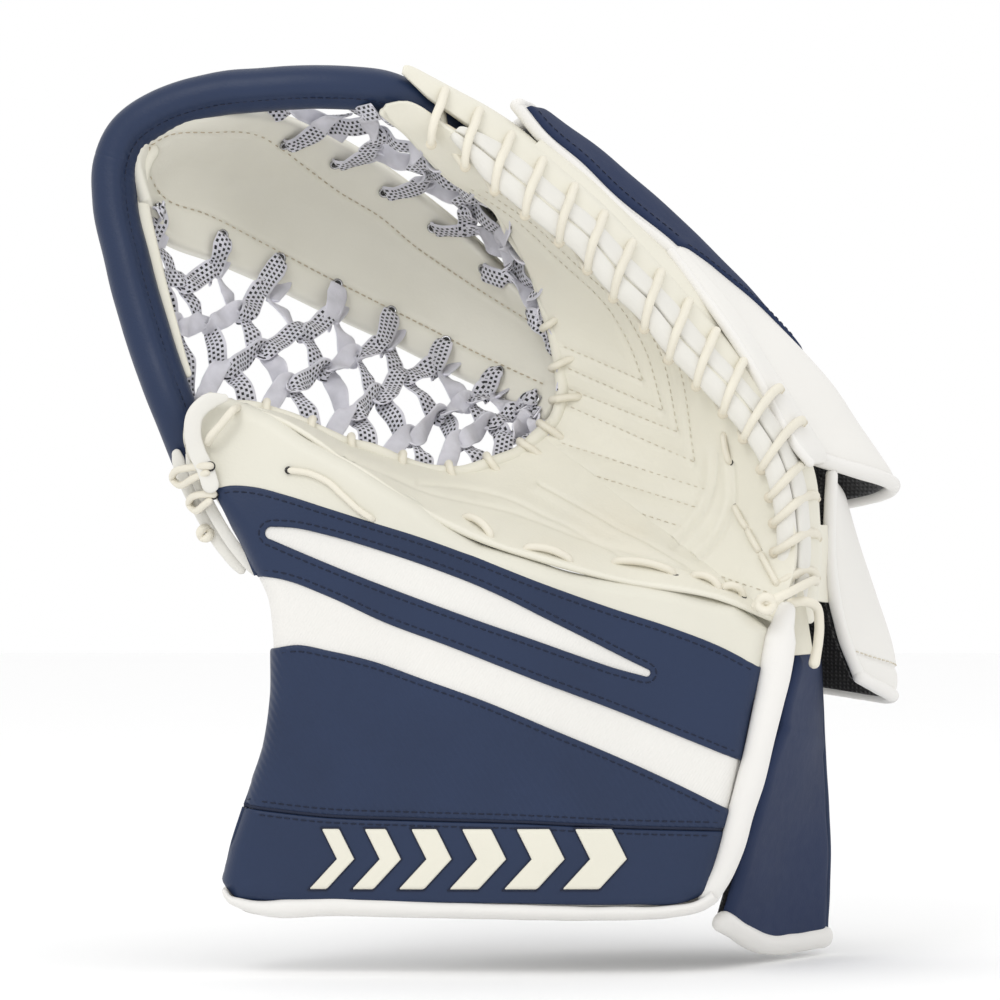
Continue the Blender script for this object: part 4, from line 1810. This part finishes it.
CREASE_LACES = [((-13.6, 161.5), (-3.5, 154)), ((9.7, 149.5), (27.5, 144.5)), ((43.8, 144), (68, 139.5)),
                ((75, 138.5), (85, 134)), ((86.5, 134), (94.5, 131))]
PALM_TIES = [((88.3, 194), (90.6, 183)), ((92.6, 165.2), (97, 157)), ((97.4, 156), (101.5, 148)),
             ((102, 147), (108, 135))]


def make_heel_laces():
    """Laces that draw the palm to the cuff, the knot at the heel, and its loose end."""
    laces, holes = Mesh(), Mesh()
    for a, b in CREASE_LACES:
        p, n = thumb_surface.at(*a, -0.3)
        q, m = thumb_surface.at(*b, -0.3)
        over_lace(laces, holes, p, q, unit(n + m))
    finish_piece(laces.make("heel_crease_laces", LACE), blend=THUMB_HALF)
    finish_piece(holes.make("heel_crease_holes", HOLE), blend=THUMB_HALF)
    ties, slits = Mesh(), Mesh()
    for a, b in PALM_TIES:
        p, n = palm_surface.at(*a, -0.3)
        q, m = palm_surface.at(*b, -0.3)
        over_lace(ties, slits, p, q, unit(n + m), 1.35, 1.1)
    knot = [(99, -66, 127), (103, -70, 128.5), (109, -69, 131), (116, -58, 134), (123, -44, 136.5),
            (124, -38, 136)]
    ties.tube(smooth(knot, evenly(40)), 1.85, sides=10)
    t = np.linspace(0.3, 6.2, 26)
    turn = np.stack([np.cos(t), -0.5 * np.sin(t) ** 2, np.sin(t)], axis=1)
    ties.tube((102.5, -70.5, 128) + 2.6 * turn, 1.8, sides=10)
    finish_piece(ties.make("heel_ties", LACE), blend=FINGER_HALF)
    finish_piece(slits.make("heel_tie_slits", HOLE), blend=FINGER_HALF)
    end = Mesh()
    hang = [(113, -58, 128), (119, -56, 128.5), (123.5, -52, 126), (124.5, -50, 120), (124, -50, 112),
            (122.5, -51, 104.5)]
    end.tube(smooth(hang, evenly(50)), np.interp(evenly(50), [0, 0.85, 1], [1.9, 2.0, 2.3]), sides=12)
    finish_piece(end.make("heel_lace_end", LACE), "cuff")


def four_sided(near, far, count):
    """A grid between two edges, with straight sides."""
    return coons(near, far, [near[0], far[0]], [near[-1], far[-1]], to_edges(*count), to_edges(*count))


def make_heel_fill():
    """The leather between the palm's heel and the cuff."""
    grid = four_sided([(92, -56, 106), (122, -50, 108)], [(88, -54, 128), (118, -46, 134)], (14, 0.1))
    sheet_piece("heel_gusset", CREAM, grid, 0.8 + 0.3 * ripples(grid, 14, 142), -0.8, (0.2, -1, 0), "cuff",
                slot="palm_leather")


def make_heel_tab():
    """A leather tab that joins the heel to the wrist guard's side."""
    grid = four_sided([(116, -34, 128), (124, -20, 128), (131, -3, 127)],
                      [(115, -30, 157), (124, -16, 158), (130, -4, 158)], (20, 0.08))
    sheet_piece("heel_tab", CREAM, grid, 0.9 + 0.3 * ripples(grid, 14, 141), -1.0, (0.6, -0.8, 0), "fingers",
                slot="palm_leather")


def make_gusset():
    """The leather between the pocket's edge and the back of the hand."""
    lines = [
        [(30, 20, 198), (29, 21, 215), (25, 21, 240), (14, 17, 262), (1, 8, 283)],
        [(34, 34, 197), (31, 34, 216), (25, 34, 240), (14, 30, 262), (0, 22, 282)],
        [(33, 47, 196), (29, 46, 216), (22, 45, 239), (10, 42, 261), (-4, 37, 279)],
    ]
    grid = lofted(lines, to_edges(20, 0.08), to_edges(50, 0.04))
    sheet_piece("finger_gusset_skin", CREAM, grid, 1.0 + 0.6 * ripples(grid, 22, 121), -1.0, (1, 0, 0),
                blend=FINGER_HALF, replaces=("finger_gusset",), slot="palm_leather")


SLEEVE_SIDES = 28
KNIT_THICK = 1.3


def sleeve(node, body, name):
    """A ribbed knit sleeve with a closed tip, along the axis of the node that it stands for."""
    points = np.array([v.co[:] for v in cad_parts[node].data.vertices]) * 1000 + WRIST_CENTRE
    centre = points.mean(axis=0)
    axis = np.linalg.svd(points - centre)[2][0]
    run = (points - centre) @ axis
    off = np.linalg.norm(points - centre - run[:, None] * axis, axis=1)
    if off[run > run.max() - 4].max() > off[run < run.min() + 4].max():
        axis, run = -axis, -run
    long = run.max() - run.min()
    start = centre + axis * run.min()
    s = evenly(46)
    tip = np.sqrt(np.clip(1 - np.clip((s - 0.86) / 0.145, 0, 1) ** 2, 0.0, 1))
    ribs = 1 + 0.03 * np.sin(s * long * 1.4)
    outer = np.maximum(off.max() * (1 - 0.25 * s) * tip * ribs, 0.4)
    inner = np.maximum(outer - KNIT_THICK, 0.2)
    side = unit(np.cross(axis, [0, 0, 1]))
    other = np.cross(axis, side)
    angle = np.linspace(0, 2 * math.pi, SLEEVE_SIDES, endpoint=False)[:, None]
    ring = np.cos(angle) * side + np.sin(angle) * other
    rows = [start + axis * long * v + ring * r for v, r in zip(s, outer)]
    rows += [start + axis * (long * min(v, 0.95)) + ring * r for v, r in zip(s[::-1], inner[::-1])]
    mesh = Mesh()
    mesh.add(np.vstack(rows), ring_faces(len(rows), SLEEVE_SIDES, closed=True))
    finish_piece(mesh.make(name, KNIT_SLEEVE), body, replaces=(node,), slot="lining_black")


STRAP_THICK = 2.0
WRIST_STRAPS = [
    ("wrist_strap_right_webbing", "wrist_strap_right", "cuff",
     [(66, -43), (88, -36), (99, -16), (103, 10), (97, 34), (80, 45), (52, 48), (26, 44)],
     42, 78, WEBBING, PALE_THREAD, "strap_black"),
    ("wrist_strap_left_webbing", "wrist_strap_left", "cuff",
     [(16, 45), (4, 34), (-12, 12), (-24, -18), (-28, -43)], 42, 78, WEBBING, PALE_THREAD, "strap_black"),
    ("wrist_strap_pull_tab", "wrist_strap_tab", "wrist_strap",
     [(78, 50.5), (52, 52.5), (30, 49.5), (18, 48.5)], 40, 80, NAVY, NAVY_THREAD, "skin_navy"),
]


def make_strap(name, node, body, line, low, high, material, thread, slot):
    """A strap that stands on edge along a line in plan, from the height `low` to `high`."""
    path = resample([(x, y, 0) for x, y in line], 1.5)
    t = unit(np.gradient(path, axis=0))
    vs = to_edges(20, 0.06)
    grid = np.repeat(path[:, None], len(vs), axis=1)
    grid[..., 2] = low + (high - low) * vs[None]
    edge = border_distance(grid)
    out = np.stack([t[:, 1], -t[:, 0], 0 * t[:, 0]], axis=1)[:, None]
    grid = grid + out * 0.35 * ripples(grid, 30, 131)[..., None]
    top = STRAP_THICK * (0.5 + 0.5 * rounding(edge, 1.2))
    n = sheet_piece(name, material, grid, top, 0.0, out[len(out) // 2, 0], body, replaces=(node,), slot=slot)
    rows = [grid[3:-3:3, 3], grid[3:-3:3, -4]]
    seam_on(name + "_stitches", grid, n, STRAP_THICK + 0.1, rows, thread, body)


make_rim_welts()
make_rim_lace()
make_backhand()
make_apron()
make_guard_lap()
make_hand_strap(*make_finger_guard())
make_wrist_guard()
make_side_flap()
make_thumb_back()
make_thumb_edge_band()
make_thumb_edge_strips()
make_thumb_edge_laces()
make_gusset()
make_heel_laces()
make_heel_tab()
make_heel_fill()
for number in range(1, 5):
    sleeve(f"finger_stall_{number}", "fingers", f"finger_sleeve_{number}")
sleeve("thumb_stall", "cuff", "thumb_sleeve")
for strap in WRIST_STRAPS:
    make_strap(*strap)


# ------------------------------------------------------------------ camera, light and floor


LAMPS = [
    ("key_light", (-700, -1500, 1500), 0.7, 8),
    ("fill_light", (1300, -1300, 600), 1.2, 1),
    ("top_light", (100, 300, 1600), 1.0, 1.5),
]
LIGHTS_AIM = (0, 0, 160)
FLOOR = leather("pale_paper", (0.97, 0.97, 0.97), 0.95, 300, 0.00001, 0.002)
FLOOR_REACH = 4000.0


def make_camera():
    """The camera, looking straight at the palm from the photograph's distance."""
    data = bpy.data.cameras.new("photo_camera")
    data.lens = 180
    data.sensor_width = 36
    data.clip_end = 20
    camera = bpy.data.objects.new("photo_camera", data)
    camera.location = to_frame(0, -CAMERA_DISTANCE, CAMERA_HEIGHT)
    camera.rotation_euler = (math.radians(90), 0, 0)
    bpy.context.scene.collection.objects.link(camera)
    bpy.context.scene.camera = camera


def make_lamp(name, place, size, power):
    """A soft square lamp aimed at the glove's middle."""
    data = bpy.data.lights.new(name, "AREA")
    data.shape = "SQUARE"
    data.size = size
    data.energy = power
    lamp = bpy.data.objects.new(name, data)
    lamp.location = to_frame(*place)
    aim = Vector(to_frame(*LIGHTS_AIM)) - lamp.location
    lamp.rotation_euler = aim.to_track_quat("-Z", "Y").to_euler()
    bpy.context.scene.collection.objects.link(lamp)


def make_stage():
    """Camera, white surroundings, three lamps and the floor."""
    make_camera()
    world = bpy.data.worlds.new("white_room")
    world.use_nodes = True
    background = world.node_tree.nodes["Background"]
    background.inputs["Color"].default_value = (1.0, 1.0, 1.0, 1)
    background.inputs["Strength"].default_value = 1.0
    bpy.context.scene.world = world
    bpy.context.scene.view_settings.view_transform = "Standard"
    for lamp in LAMPS:
        make_lamp(*lamp)
    floor = Mesh()
    corners = [(x * FLOOR_REACH, y * FLOOR_REACH, FLOOR_Z) for x, y in ((-1, -1), (1, -1), (1, 1), (-1, 1))]
    floor.add(corners, [(0, 1, 2, 3)])
    floor.make("pale_floor", FLOOR)


make_stage()
